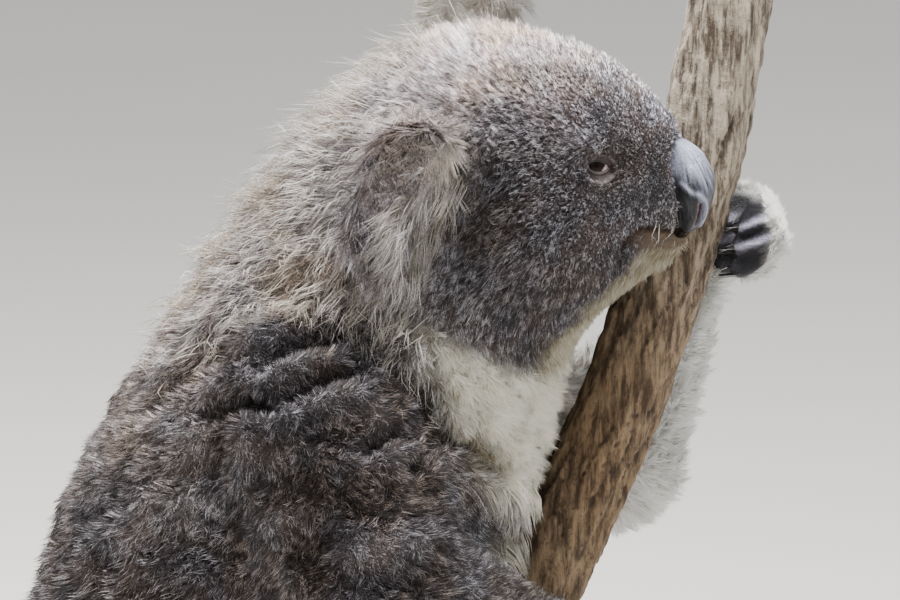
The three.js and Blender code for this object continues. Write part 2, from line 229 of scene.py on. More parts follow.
def refine(mesh, wanted):
    """Splits the facets whose corners are all wanted into four."""
    work = bmesh.new()
    work.from_mesh(mesh)
    points = np.array([v.co for v in work.verts])
    chosen = wanted(points)
    edges = [e for e in work.edges if chosen[e.verts[0].index] and chosen[e.verts[1].index]]
    bmesh.ops.subdivide_edges(work, edges=edges, cuts=1, use_grid_fill=True)
    work.to_mesh(mesh)
    work.free()


def near_mouth(points):
    spot = on_head(points)
    return (spot[:, 0] > 52) & (abs(spot[:, 1]) < 60) & (spot[:, 2] < 4) & (spot[:, 2] > -50)


def finder(points, faces):
    """What finds the nearest spot of a mesh, and where a ray meets it."""
    return BVHTree.FromPolygons(points.tolist(), faces.tolist())


skin_piece = new_piece("koala_skin", flesh_points, flesh_faces)
skin_mesh = remeshed(skin_piece, SKIN_GRAIN)
refine(skin_mesh, near_mouth)
skin = Surface(skin_mesh)
nearest_flesh = finder(flesh_points, flesh_faces)
part = flesh_part[[nearest_flesh.find_nearest(p)[2] for p in skin.points.tolist()]]


def part_mask(*starts):
    """1 on the parts whose names start so, 0 elsewhere."""
    chosen = [k for k, name in enumerate(FLESH) if name.startswith(starts)]
    return np.isin(part, chosen).astype(float)


# The parts melt into each other, but for the paws, which keep their fingers apart.
on_paws = skin.relax(part_mask("hand", "foot"), 2)
skin.points = blend(skin.relax(skin.points, 14), skin.relax(skin.points, 3), on_paws[:, None])

# How deep and how long the coat is on each part, in millimetres: (depth, length of the hairs).
COAT = {"head": (8, 11), "lower_jaw": (5, 8), "neck": (8, 10.5), "chest": (6, 8), "belly": (7, 9.5),
        "rump": (7, 9.5), "ear": (9, 14), "upper_arm": (5.5, 7), "forearm": (5.5, 7), "hand": (1.2, 5),
        "thigh": (6, 8), "shank": (5, 7), "foot": (1.0, 4)}
CROWN_COAT, MUZZLE_COAT = (10, 13), (2.4, 3.4)  # on the head it thins out from the ears to the nose
FOLD_HEIGHT = 2.2  # millimetres
depth, length = (sum(part_mask(name) * COAT[name][k] for name in COAT) for k in (0, 1))
place = on_head(skin.points)
face = part_mask("head", "lower_jaw") * ease(-60, -20, place[:, 0])
front = ease(-35, 70, place[:, 0]) ** 0.8
depth, length = (blend(usual, blend(CROWN_COAT[k], MUZZLE_COAT[k], front), face)
                 for k, usual in enumerate((depth, length)))
depth, length = skin.relax(np.stack([depth, length], 1), 30).T
normals = skin.relax(skin.normals(), 6)
woolly = part_mask("neck", "chest", "belly", "rump", "upper_arm", "forearm", "thigh", "shank")
woolly = skin.relax(woolly + 0.45 * part_mask("head") * (1 - face), 12)


def ripple(points, size, seed, count=14):
    """A smooth random field of about -1 to 1, for points and the size of its waves in one unit."""
    dice = np.random.default_rng(seed)
    waves = unit(dice.normal(size=(count, 3))) * (2 * np.pi / size) * dice.uniform(0.7, 1.4, (count, 1))
    phase = points @ waves.T + dice.uniform(0, 2 * np.pi, count)
    return np.sin(phase).sum(1) * math.sqrt(2 / count) * 0.8


# The coat rolls in loose folds a few centimetres apart.
folds = ripple(skin.points * (0.55, 1, 1), 0.030, 51) + 0.5 * ripple(skin.points, 0.016, 52)
depth = depth - folds * woolly * FOLD_HEIGHT
drawn_in = depth / 1000 + CLOSING * (1 - on_paws)
skin.points = skin.points - unit(normals) * drawn_in[:, None]
skin.points = blend(skin.relax(skin.points, 6), skin.relax(skin.points, 1), on_paws[:, None])

# ============================================================ the face
# The mouth is a shallow groove with painted shade along it, running back from under the nose to its corner,
# with a bare lower lip.
# The skin sinks round each eye, swells over it as a brow, and puffs out at the cheek and the muzzle.

MOUTH = np.array([(86, -27.5), (84, -26), (76, -19.5), (68, -13.5), (64, -15), (62, -20), (60, -29)], float)
BROW = (46, 40, 33), (12, 12, 5)
# How far each soft form stands out, where its middle is, and its size each way.
FACE_FORMS = (
    (2.2, *BROW),
    (-1.8, (60, 30, 18), (9, 12, 7)),  # the hollow ahead of the eye
    (1.6, (70, 28, 2), (14, 12, 10)),  # the side of the muzzle
    (3.0, (28, 62, -20), (26, 20, 22)),  # the cheek
    (3.0, (77, 0, 23), (9, 14, 7)),  # the bridge of the nose
    (4.5, (79, 19, -11), (7, 6, 10)),  # the upper lip beside the nose
    (-3.0, (68, 22, -38), (12, 14, 9)))  # the hollow under the lower lip
EAR_SLANT = 0.017
EYE_MIDDLES = {name: on_head(centre(name)) for name in ("eye_left", "eye_right")}


def distance_to_line(points, line):
    """How far each point is from a line of corners, in the units of both."""
    best = np.full(len(points), np.inf)
    for start, end in zip(line[:-1], line[1:]):
        along = end - start
        t = np.clip(((points - start) @ along) / (along @ along), 0, 1)[:, None]
        best = np.minimum(best, np.linalg.norm(points - start - t * along, axis=1))
    return best


def bulge(places, middle, size):
    """1 at a place on the head, fading over a size in millimetres each way, on both sides of it."""
    gap = (np.stack([places[:, 0], abs(places[:, 1]), places[:, 2]], 1) - middle) / size
    return np.exp(-(gap ** 2).sum(1))


place = on_head(skin.points)
on_face = part_mask("head", "lower_jaw")
mouth_way = distance_to_line(place[:, [0, 2]], MOUTH)
fore = on_face * ease(56, 60, place[:, 0])
mouth = np.exp(-((mouth_way / 1.3) ** 2)) * fore
lip_top = np.interp(place[:, 0], MOUTH[3::-1, 0], MOUTH[3::-1, 1])
under = lip_top - place[:, 2]
lip = fore * ease(59, 71, place[:, 0]) * ease(-0.5, 1.0, under)
lip = skin.relax(lip * ease(19, 11, under + 0.25 * (76 - place[:, 0])), 3)
corner_fold = np.exp(-(((place[:, 0] - 60 + 0.12 * under) / 3.2) ** 2))
corner_fold = on_face * corner_fold * ease(0, 6, under) * ease(34, 14, under)
upper_lip = on_face * ease(9, 1.5, -under) * ease(0.2, 2.0, -under) * ease(60, 70, place[:, 0])
swell = on_face * sum(out * bulge(place, middle, size) for out, middle, size in FACE_FORMS)
swell += 1.6 * upper_lip - 1.5 * corner_fold + 0.8 * lip - 3.0 * mouth
skin.points = skin.points + skin.normals() * (swell / 1000)[:, None]
slant = part_mask("ear") * ease(50, 32, place[:, 2]) * ease(-45, -8, place[:, 0])
skin.points = skin.points - skin.relax(slant, 10)[:, None] * EAR_SLANT * head_turn[:, 0]
skin_finder = finder(skin.points, skin.triangles)


class EyeFrame:
    """Where an eye looks out, and which ways its lids run, in the head's millimetres."""

    LOOK, TILT = (0.40, 0.86, 0.24), math.radians(-15)
    FROM_BALL = (1.2, 0, -2.2)  # from the middle of the ball to the middle of the opening
    BARE = (8.6, 6.6)  # how far the bare lids reach, the long way and the tall way

    def __init__(self, name):
        middle = EYE_MIDDLES[name] + self.FROM_BALL
        side = np.sign(middle[1])
        self.outward = unit(np.array(self.LOOK) * (1, side, 1))
        nosewards = unit(np.cross(self.outward, (0, 0, side)))
        upward = np.cross(nosewards, self.outward) * side
        self.long_way = nosewards * math.cos(self.TILT) + upward * math.sin(self.TILT)
        self.tall_way = upward * math.cos(self.TILT) - nosewards * math.sin(self.TILT)
        self.skin = self.drop(middle[None])[0]

    def reach(self, spots):
        """1 on the outer edge of the bare lids, 0 in the middle of the eye."""
        gap = spots - self.skin
        return np.hypot(gap @ self.long_way / self.BARE[0], gap @ self.tall_way / self.BARE[1])

    def drop(self, spots):
        """The spots on the skin that lie straight under others, seen from in front of the eye."""
        found = []
        for spot in from_head(spots + self.outward * 30):
            hit = skin_finder.ray_cast(Vector(spot), Vector(-(head_turn @ self.outward)))[0]
            found.append(on_head(np.array(hit if hit else spot)))
        return np.array(found)


HOLLOW, HOLLOW_SIZE = 1.2, 14  # the wide, shallow hollow round an eye
SOCKET = 7  # the depth of the socket behind the lids
EYES = {name: EyeFrame(name) for name in EYE_MIDDLES}
socket = np.zeros(len(skin.points))
for eye in EYES.values():
    away_from = np.linalg.norm(place - eye.skin, axis=1)
    wide = np.exp(-((away_from / HOLLOW_SIZE) ** 2)) * on_face
    skin.points -= skin.normals() * (wide * HOLLOW)[:, None] / 1000
    eye.skin = eye.skin - eye.outward * HOLLOW
    near = on_face * (away_from < 20)
    socket = np.maximum(socket, np.exp(-((eye.reach(place) / 0.86) ** 8)) * near)
skin.points = skin.points - skin.normals() * (socket * SOCKET / 1000)[:, None]

# ============================================================ the folds of the near shoulder
# The loose skin creases where the arm reaches forward. Deep folds run down the edge of the chest and out
# over the bend of the arm, and the skin swells softly beside each of them.

ARM_FOLDS = (
    np.array([(0.020, 0.516), (0.031, 0.4993), (0.041, 0.489), (0.050, 0.4735), (0.069, 0.4566),
              (0.079, 0.447)]),
    np.array([(0.016, 0.470), (0.0225, 0.474), (0.0285, 0.4765), (0.0365, 0.477), (0.0445, 0.474)]),
    np.array([(0.037, 0.459), (0.0455, 0.4645), (0.052, 0.4675), (0.063, 0.465), (0.071, 0.4595)]),
    np.array([(-0.038, 0.505), (-0.027, 0.512), (-0.0155, 0.5165), (0.0055, 0.518)]),
    np.array([(-0.020, 0.494), (-0.006, 0.502), (0.010, 0.504)]),
    np.array([(-0.060, 0.478), (-0.045, 0.487), (-0.030, 0.489)]))
ARM_FOLD_DEPTH, ARM_FOLD_WIDTH = 8.5, 3.6
FOLD_SWELL, SWELL_AWAY, SWELL_WIDTH = 1.3, 8, 4
near_body = part_mask("neck", "chest", "upper_arm_right") * (skin.points[:, 1] < -0.035)
fold_way = np.min([distance_to_line(skin.points[:, [0, 2]], line) for line in ARM_FOLDS], axis=0) * 1000
arm_folds = skin.relax(np.exp(-((fold_way / ARM_FOLD_WIDTH) ** 2)) * near_body, 2)
fold_sides = skin.relax(np.exp(-(((fold_way - SWELL_AWAY) / SWELL_WIDTH) ** 2)) * near_body, 3)
push = fold_sides * FOLD_SWELL - arm_folds * ARM_FOLD_DEPTH
skin.points = skin.points + skin.normals() * push[:, None] / 1000

# ============================================================ the paws
# The far hand is a full, rounded fist. The palms, soles and the undersides of the fingers and toes are
# bare, black and finely ridged.

# The far hand's back and the edge of its bare palm: how far ahead they lie at each height.
HAND_BACK = np.array([(0.5265, 0.180), (0.534, 0.198), (0.541, 0.209), (0.550, 0.215), (0.561, 0.212),
                      (0.568, 0.207), (0.574, 0.201), (0.580, 0.185)])
PALM_EDGE = np.array([(0.529, 0.190), (0.533, 0.1985), (0.537, 0.2055), (0.541, 0.2075), (0.545, 0.209),
                      (0.5535, 0.2105), (0.561, 0.2065), (0.564, 0.2075), (0.570, 0.2055),
                      (0.5735, 0.1985), (0.576, 0.185)])
# Its two middle fingers curl in over the palm above the dark hollow, glossy and lilac-grey, with a painted
# highlight along each.
BENT_FINGERS = (np.array([(0.213, 0.565), (0.201, 0.561), (0.186, 0.5545)]),
                np.array([(0.213, 0.555), (0.200, 0.5505), (0.185, 0.546)]))
FINGER_WIDTH, HIGHLIGHT_WIDTH, FINGER_SWELL = 0.0023, 0.0012, 0.003


def behind(outline):
    """How far each point of the skin lies behind an outline of the far hand."""
    return np.interp(skin.points[:, 2], *outline.T) - skin.points[:, 0]


far_hand = part_mask("hand_left")
soft_hand = skin.relax(far_hand, 3)
fill = np.maximum(behind(HAND_BACK), 0) * soft_hand * ease(0.1, 0.6, skin.normals()[:, 0])
skin.points = skin.points + (1, 0, 0) * skin.relax(fill, 6)[:, None]
skin.points = blend(skin.points, skin.relax(skin.points, 6), soft_hand[:, None])

stem_finder = finder(*arrays_of(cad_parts["perch_stem"].data))
pad = np.zeros(len(skin.points))
facing = skin.normals()
for k in np.flatnonzero(part_mask("hand", "foot")):
    spot, _, _, way = stem_finder.find_nearest(Vector(skin.points[k]))
    towards = np.array(spot) - skin.points[k]
    pad[k] = facing[k] @ towards / max(way, 1e-6)
pad = ease(-0.05, 0.4, skin.relax(pad, 4)) * part_mask("hand", "foot")
palm = ease(-0.1, 0.15, -facing[:, 1]) * ease(0, 0.0015, behind(PALM_EDGE)) * far_hand
knuckles = ease(0.5665, 0.5715, skin.points[:, 2]) * far_hand
pad = np.maximum(pad, skin.relax(palm, 1)) * (1 - 0.6 * knuckles)

finger_way = np.min([distance_to_line(skin.points[:, [0, 2]], line) for line in BENT_FINGERS], axis=0)
near_side = far_hand * ease(0.0, 0.4, -facing[:, 1])
fingers = skin.relax(np.exp(-((finger_way / FINGER_WIDTH) ** 4)) * near_side, 1)
# Painted highlight: a lilac-white band along each curled finger. The gloss also smooths the pads.
finger_highlight = skin.relax(np.exp(-((finger_way / HIGHLIGHT_WIDTH) ** 2)) * near_side, 1)
gloss = finger_highlight * 1.3 + 0.3 * part_mask("hand_right", "foot")
skin.points = skin.points + (0, -1, 0) * (fingers * FINGER_SWELL)[:, None]

# ============================================================ the markings
# The coat is speckled grey, tan-tipped on the crown, nape and back, cream-white on the chin, throat,
# chest and inner sides of the arms, and whitish on the hands and the fringes of the ears. Light and shade
# are painted in too: near-white tips on top and a bluish white on the far side stand for light from above
# and behind, and painted shade darkens hollows, creases, the eye's surround, and in part the jaw and limbs.

# Where the stem's front and the edge of the pale breast lie at each height: (height, ahead).
STEM_FRONT = np.array([(0.17, 0.011), (0.38, 0.097), (0.54, 0.160), (0.70, 0.193)])
BREAST_EDGE = np.array([(0.20, -0.050), (0.38, 0.040), (0.42, 0.088), (0.453, 0.068), (0.498, 0.047),
                        (0.54, 0.034)])
STREAK_DEPTH = 0.0025
place = on_head(skin.points)
patches = ripple(skin.points, 0.05, 3)
small_patches = ripple(skin.points, 0.018, 4)
facing = skin.normals()
x, y, z = skin.points.T
ears = part_mask("ear")
far_arm = part_mask("upper_arm_left", "forearm_left")
near_arm = part_mask("upper_arm_right", "forearm_right")

under_jaw = -place[:, 2] - 0.9 * np.maximum(62 - place[:, 0], 0) + 0.3 * np.maximum(place[:, 0] - 62, 0)
chin = on_face * ease(29, 38, under_jaw + small_patches * 2.5) * ease(4, 26, place[:, 0]) * (1 - 0.4 * lip)
length = length + chin * ease(40, 60, place[:, 0]) * 5 - arm_folds * 5
breast = ease(-0.012, 0.012, x - np.interp(z, *BREAST_EDGE.T) + small_patches * 0.003)
breast = breast * ease(0.545, 0.530, z + 0.1 * (x - 0.05)) * ease(0.105, 0.085, abs(y))
breast = breast * part_mask("chest", "neck", "belly")
inner_arm = far_arm * ease(0.25, -0.3, facing[:, 1]) + near_arm * ease(0.35, 0.7, facing[:, 1])
# The far arm's edge is pale: partly its white fringe, partly painted back light.
fringe_arm = far_arm * ease(-0.3, 0.6, facing[:, 0]) * ease(1.1, 0.1, facing[:, 1])
inner_leg = part_mask("thigh", "shank") * ease(0.1, 0.5, -facing[:, 1] * np.sign(y))
bottom = part_mask("rump") * ease(0.18, 0.13, z + patches * 0.01)
hands = far_hand + part_mask("hand_right") * 0.35 + part_mask("foot") * 0.3
ear_rim = ears * np.maximum(ease(-20, 14, place[:, 0]) * ease(34, 12, place[:, 2]) * 0.35,
                            ease(-26, -8, place[:, 0]) * ease(20, 34, place[:, 2]) * 0.4)
# The far ear is paler all over, partly as painted back light.
pale = np.maximum.reduce([chin, breast, inner_arm, fringe_arm, inner_leg * 0.8, bottom * 0.8, hands,
                          ear_rim, part_mask("ear_left") * 0.6])
# Painted back light: a bluish white on the far hand, the far arm's fringe and inner side, and a little on the
# far ear.
frost = np.clip(far_hand + fringe_arm + inner_arm * far_arm + part_mask("ear_left") * 0.3, 0, 1)

# Tan with near-white tips on the crown, nape, back and ear tops: partly own tan, partly painted light from
# above.
crown = part_mask("head") * ease(16, 58, place[:, 2] - 0.30 * place[:, 0] + small_patches * 4)
past_stem = x - np.interp(z, *STEM_FRONT.T)
back = part_mask("neck", "chest", "belly") * ease(-0.07, -0.14, past_stem) * ease(0.38, 0.55, z)
nape = part_mask("neck") * ease(0.06, -0.02, x) * ease(0.50, 0.55, z) * 0.8
tan = np.maximum.reduce([crown, back, nape, ears * ease(0, 40, place[:, 2])]) + patches * 0.12
behind_head = part_mask("head") * ease(-15, -50, place[:, 0]) * ease(-35, 0, place[:, 2])
tan = skin.relax(np.maximum(np.clip(tan, 0, 1), behind_head * 0.9), 20)

# Painted shade in random hollows of the near ear.
ear_hollow_shade = part_mask("ear_right") * ease(0.0, 0.7, ripple(skin.points * (1, 1, 0.5), 0.02, 77))
temple = part_mask("head") * np.exp(-((place[:, 0] + 2) / 20) ** 2 - ((place[:, 2] - 6) / 24) ** 2)
# Painted shade in the hollow ahead of the deep-set eye and under the brow.
eye_surround_shade = bulge(place, (62, 30, 18), (11, 16, 8)) + 0.5 * bulge(place, (50, 40, 12), (14, 14, 6))
# The lower jaw is browner and darker: partly its own tone, partly painted shade underneath.
jaw = on_face * ease(-12, -34, place[:, 2]) * ease(-10, 20, place[:, 0])
# The limbs and lower body are darker: partly the coat's own tone, partly painted shade away from the light
# above.
body = (part_mask("upper_arm", "forearm", "thigh", "shank") * 0.8 + part_mask("hand_right", "foot") * 0.5
        + part_mask("chest", "belly", "rump") * 0.35)
# The shoulder's creases are darkened with painted shade.
dark = np.maximum.reduce([ear_hollow_shade * 0.45, jaw * 0.62, temple * 0.9, eye_surround_shade * 0.8 * on_face,
                          body * (1 - tan) * (1 - pale), arm_folds])
across_locks = np.stack([0.98 * x + 0.6 * z, 0.18 * y, 0 * x], 1)
streaks = ease(0.1, 0.9, ripple(across_locks, 0.009, 78))
skin.points = skin.points - facing * (breast * streaks)[:, None] * STREAK_DEPTH
# Painted shade in the breast's grooves, and a band of painted shade along the chin strip's edge.
dark = dark + breast * streaks * 0.3 + 2.5 * chin * (1 - chin) * on_face
# Darker in random patches, and painted shade in the hollows of the coat's folds.
dark = np.clip(dark + np.clip(patches, 0, 1) * 0.15 - folds * woolly * (1 - pale) * 0.28, 0, 1)
pale, tan, dark, frost = skin.relax(np.stack([pale, tan, dark, frost], 1), 8).T
# Painted shade along the mouth line, in the corner crease and towards the back of the lip.
mouth_shade = np.maximum.reduce([mouth, corner_fold * 0.75, lip * ease(74, 62, place[:, 0]) * 0.9])
skin.store()
skin.note(pale=pale, tan=tan, dark=dark, frost=frost, lip=lip, mouth=mouth_shade, pad=pad, gloss=gloss,
          root=skin.points)


class Wire:
    """A socket that gives numbers. Sums and products of wires add Math nodes."""

    def __init__(self, finish, socket):
        self.finish = finish
        self.socket = socket

    def maths(self, operation, *others):
        return self.finish.node("ShaderNodeMath", {"operation": operation}, dict(enumerate(others)))

    def __add__(self, other):
        return self.maths("ADD", self, other)

    def __radd__(self, other):
        return self.maths("ADD", other, self)

    def __sub__(self, other):
        return self.maths("SUBTRACT", self, other)

    def __rsub__(self, other):
        return self.maths("SUBTRACT", other, self)

    def __mul__(self, other):
        return self.maths("MULTIPLY", self, other)

    def __rmul__(self, other):
        return self.maths("MULTIPLY", other, self)

    def between(self, low, high):
        """0 where the number is low, 1 where it is high, and smooth between."""
        settings = {"interpolation_type": "SMOOTHSTEP"}
        return self.finish.node("ShaderNodeMapRange", settings, {0: self, 1: low, 2: high})


class Finish:
    """A material that is being put together from nodes."""

    def __init__(self, name, **shader):
        self.material = bpy.data.materials.new(name)
        self.material.use_nodes = True
        self.tree = self.material.node_tree
        self.shader = next(n for n in self.tree.nodes if n.type == "BSDF_PRINCIPLED")
        for key, value in shader.items():
            self.shader.inputs[key.replace("_", " ").title().replace("Ior", "IOR")].default_value = value

    def node(self, kind, settings=None, sockets=None, out=0):
        """Adds a node. Its settings come first, then the values or wires of its sockets."""
        node = self.tree.nodes.new(kind)
        for key, value in (settings or {}).items():
            setattr(node, key, value)
        for key, value in (sockets or {}).items():
            self.feed(node.inputs[key], value)
        return Wire(self, node.outputs[out])

    def feed(self, socket, value):
        if isinstance(value, Wire):
            self.tree.links.new(value.socket, socket)
        else:
            socket.default_value = value

    def out(self, **sockets):
        """Feeds what varies over the surface to the shader."""
        for key, value in sockets.items():
            self.feed(self.shader.inputs[key.replace("_", " ").title()], value)
        return self.material

    def field(self, name, out=2):
        return self.node("ShaderNodeAttribute", {"attribute_name": name}, out=out)

    def own_place(self):
        """A spot's place in the piece's own space."""
        return self.node("ShaderNodeTexCoord", out=3)

    def mix(self, a, b, amount):
        return self.node("ShaderNodeMix", {"data_type": "RGBA"}, {0: amount, 6: a, 7: b}, out=2)

    def noise(self, at, scale, detail=3.0, roughness=0.55):
        sockets = {"Vector": at, "Scale": scale, "Detail": detail, "Roughness": roughness}
        return self.node("ShaderNodeTexNoise", None, sockets)

    def stretch(self, at, by):
        return self.node("ShaderNodeVectorMath", {"operation": "MULTIPLY"}, {0: at, 1: by})

    def bump(self, height, distance):
        return self.node("ShaderNodeBump", None, {"Height": height, "Distance": distance})


def colour(code):
    """A colour for a shader from its six-figure screen code."""
    parts = [int(code[k:k + 2], 16) / 255 for k in (0, 2, 4)]
    linear = [c / 12.92 if c <= 0.04045 else ((c + 0.055) / 1.055) ** 2.4 for c in parts]
    return (*linear, 1.0)


def coat_colour(finish, along, shade):
    """Markings with painted light and shade. along runs from a hair's root to its tip, shade is that hair's
    own tone.
    """
    root = finish.field("root", 1)
    pale, tan, dark, frost = (finish.field(name) for name in ("pale", "tan", "dark", "frost"))
    patch = finish.noise(root, 42.0, 2.0)
    under = finish.mix(colour("3b383b"), colour("54433a"), patch.between(0.35, 0.65))
    grey_tip = finish.mix(colour("6f6c70"), colour("ecebf2"), shade.between(0.5, 0.95))
    # The tips there are near white: partly tan fur, partly painted light from above and behind.
    tan_and_lit_tip = finish.mix(colour("fbf1f4"), colour("f6dcc4"), finish.noise(root, 28.0, 2.0).between(0.4, 0.65))
    tip = finish.mix(grey_tip, tan_and_lit_tip, tan * (0.5 + shade * 0.5))
    grey = finish.mix(under, tip, (along + tan * 0.08).between(0.15, 0.85) * (0.1 + shade * 0.9))
    # Where dark is high the hairs turn brown-black: partly the coat's own tone, partly painted shade.
    brown_tip = finish.mix(colour("645b60"), colour("7f6a54"), patch.between(0.42, 0.6))
    brown = finish.mix(colour("231e1d"), brown_tip, shade.between(0.45, 1.0))
    grey = finish.mix(grey, brown, dark * (1.0 - shade * 0.2))
    light = along.between(0.0, 0.6) * 0.5 + shade * 0.5
    cream = finish.mix(colour("c8bd9d"), colour("fffdf0"), light)
    # Painted back light: the far side's hairs are tinted towards a bluish white.
    back_lit_white = finish.mix(colour("b6bac9"), colour("ffffff"), light)
    cream = finish.mix(cream, back_lit_white, frost * (0.35 + shade * 0.4))
    # Painted shade turns the pale coat mossy brown along the chin's edge and in the breast's grooves.
    cream = finish.mix(cream, colour("7d6f4e"), dark.between(0.0, 0.9) * (1.1 - shade * 0.6))
    return finish.mix(grey, cream, pale)


def skin_finish():
    """Fur between the hairs and the mouth line in painted shade, brown lips, black ridged pads with painted
    highlights.
    """
    finish = Finish("koala_skin", roughness=0.75, specular_ior_level=0.25)
    position = finish.field("root", 1)
    pale_field, pad_field, gloss_and_highlight_field = (finish.field(name) for name in ("pale", "pad", "gloss"))
    speckle = finish.noise(position, 1100.0, 2.0, 0.7).between(0.35, 0.65)
    fur = coat_colour(finish, speckle * 0.8, speckle * 0.4 + finish.noise(position, 350.0, 2.0) * 0.6)
    # Painted shade: the skin between the hairs is darkened as if shaded by the coat, less where the coat is
    # pale.
    fur = finish.mix(fur, colour("1d1a18"), (0.6 - speckle * 0.35) * (1.0 - pale_field * 0.8))
    lip_skin = finish.mix(colour("3a2c20"), colour("6b5b4a"), finish.noise(position, 260.0))
    tone = finish.mix(fur, lip_skin, finish.field("lip"))
    # Painted shade at the mouth.
    tone = finish.mix(tone, colour("3a2519"), finish.field("mouth"))
    ridges = finish.node("ShaderNodeTexVoronoi", None, {"Vector": position, "Scale": 520.0})
    # Painted highlight: the pads are lightened towards lilac white along the fingers, and a little on the
    # other paws.
    pad_highlight = gloss_and_highlight_field + finish.noise(position, 90.0, 1.0) * 0.04
    pad_skin = finish.mix(colour("080709"), colour("c4c0d4"), pad_highlight)
    pad_skin = finish.mix(pad_skin, colour("0d0c0f"), ridges * 0.5)
    tone = finish.mix(tone, pad_skin, pad_field)
    roughness = 0.8 - pad_field * (0.2 + gloss_and_highlight_field * 0.3)
    height = speckle * 0.6 + ridges * 0.4
    return finish.out(base_color=tone, roughness=roughness, normal=finish.bump(height, 0.0009))


skin_piece.data.materials.append(skin_finish())
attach(skin_piece, "root")
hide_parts(*FLESH)

# ============================================================ the coat
# Thick wool covers all but the nose, lips and pads. It lies back from the nose, down the body and out
# along the limbs, gathered in small tousled clumps. Each hair is a thin pointed solid rooted in the skin.

CHAINS = (("head", "neck", "chest", "belly", "rump"),
          ("upper_arm_right", "forearm_right", "hand_right"), ("upper_arm_left", "forearm_left", "hand_left"),
          ("thigh_right", "shank_right", "foot_right"), ("thigh_left", "shank_left", "foot_left"))
BREAST_LIE = unit(np.array((0.62, 0.0, -0.78)))
facing = skin.normals()
lie = np.zeros_like(skin.points)
for chain in CHAINS:
    last = len(chain) - 1
    for k, name in enumerate(chain):
        ahead, before = chain[min(k + 1, last)], chain[max(k - 1, 0) if k == last else k]
        way = np.array(centre(ahead) - centre(before))
        if name.startswith(("upper_arm", "thigh")):
            way = unit(way) * (1, 0.15, 1) + np.array((-0.1, 0, -0.7))
        lie[part == FLESH.index(name)] = unit(way)
from_nose = unit(skin.points - np.array(centre("nose")))
lie = blend(lie, unit(from_nose + (0, 0, -0.35)), on_face[:, None])
for name, side in (("ear_right", -1), ("ear_left", 1)):
    round_ear = np.clip(skin.relax(part_mask(name), 60) * 2.5, 0, 1)[:, None]
    lie = blend(lie, unit(np.array((-0.2, side * 0.7, -0.6))), round_ear)
lie = skin.relax(blend(lie, BREAST_LIE, (breast * part_mask("chest", "neck"))[:, None]), 60)
lie = unit(lie - facing * (lie * facing).sum(1, keepdims=True))

# Where no hair grows: on the pads, the lips, deep in the folds, on the lids and against the nose.
place = on_head(skin.points)
bare = np.clip(pad * 1.6 + 0.92 * ease(0.3, 0.7, lip) + ease(0.3, 0.6, mouth) + 0.7 * arm_folds, 0, 1)
for eye in EYES.values():
    near = part_mask("head") * (np.linalg.norm(place - eye.skin, axis=1) < 20)
    bare = np.maximum(bare, ease(1.02, 0.9, eye.reach(place)) * near)
nose_finder = finder(*arrays_of(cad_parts["nose"].data))
for k in np.flatnonzero(place[:, 0] > 50):
    spot, out, _, way = nose_finder.find_nearest(Vector(skin.points[k]))
    inside = (Vector(skin.points[k]) - spot).dot(out) < 0
    bare[k] = max(bare[k], 1.0 if inside else ease(0.0016, 0.0004, way))

# How far the hair stands off the skin (the sine of its angle), and where it grows closest.
length = length + bulge(place, *BROW) * part_mask("head") * 4
rise = np.clip(depth / np.maximum(length, 1), 0.15, 0.85)
rise = np.maximum(rise * (1 - 0.5 * skin.relax(ears, 8)), skin.relax(far_hand, 2) * 0.5)
closeness = 1 + 2.0 * ease(0.30, 0.40, skin.points[:, 2]) * ease(0.35, -0.3, facing[:, 1])
corners = skin.points[skin.triangles]
area = np.linalg.norm(np.cross(corners[:, 1] - corners[:, 0], corners[:, 2] - corners[:, 0]), axis=1) / 2


def unwrapped(points, middle, axis):
    """The skin under a coat piece laid flat: round its own axis, and along it."""
    side = unit(np.cross(axis, (0.13, 0.31, 0.94)))
    other = np.cross(axis, side)
    rel = points - middle
    along = rel @ axis
    around = np.arctan2(rel @ side, rel @ other) / (2 * np.pi) + 0.5
    along = (along - along.min()) / (along.max() - along.min() + 1e-9)
    return np.stack([around, along], 1) * 0.97 + 0.015


def strands(start, first, second, reach, joints):
    """The joints of hairs that set off one way and end another: an array of hair, joint, place."""
    spots = [start]
    for k in range(joints):
        way = unit(blend(first, second, k / max(joints - 1, 1)))
        spots.append(spots[-1] + way * reach[:, None] / joints)
    return np.stack(spots, 1)


TAPER = 1.6  # above 1, a hair keeps its width for longer before it thins to its point
HAIR_ON_MAP = 0.0015  # the radius of one hair on the flat map of its piece


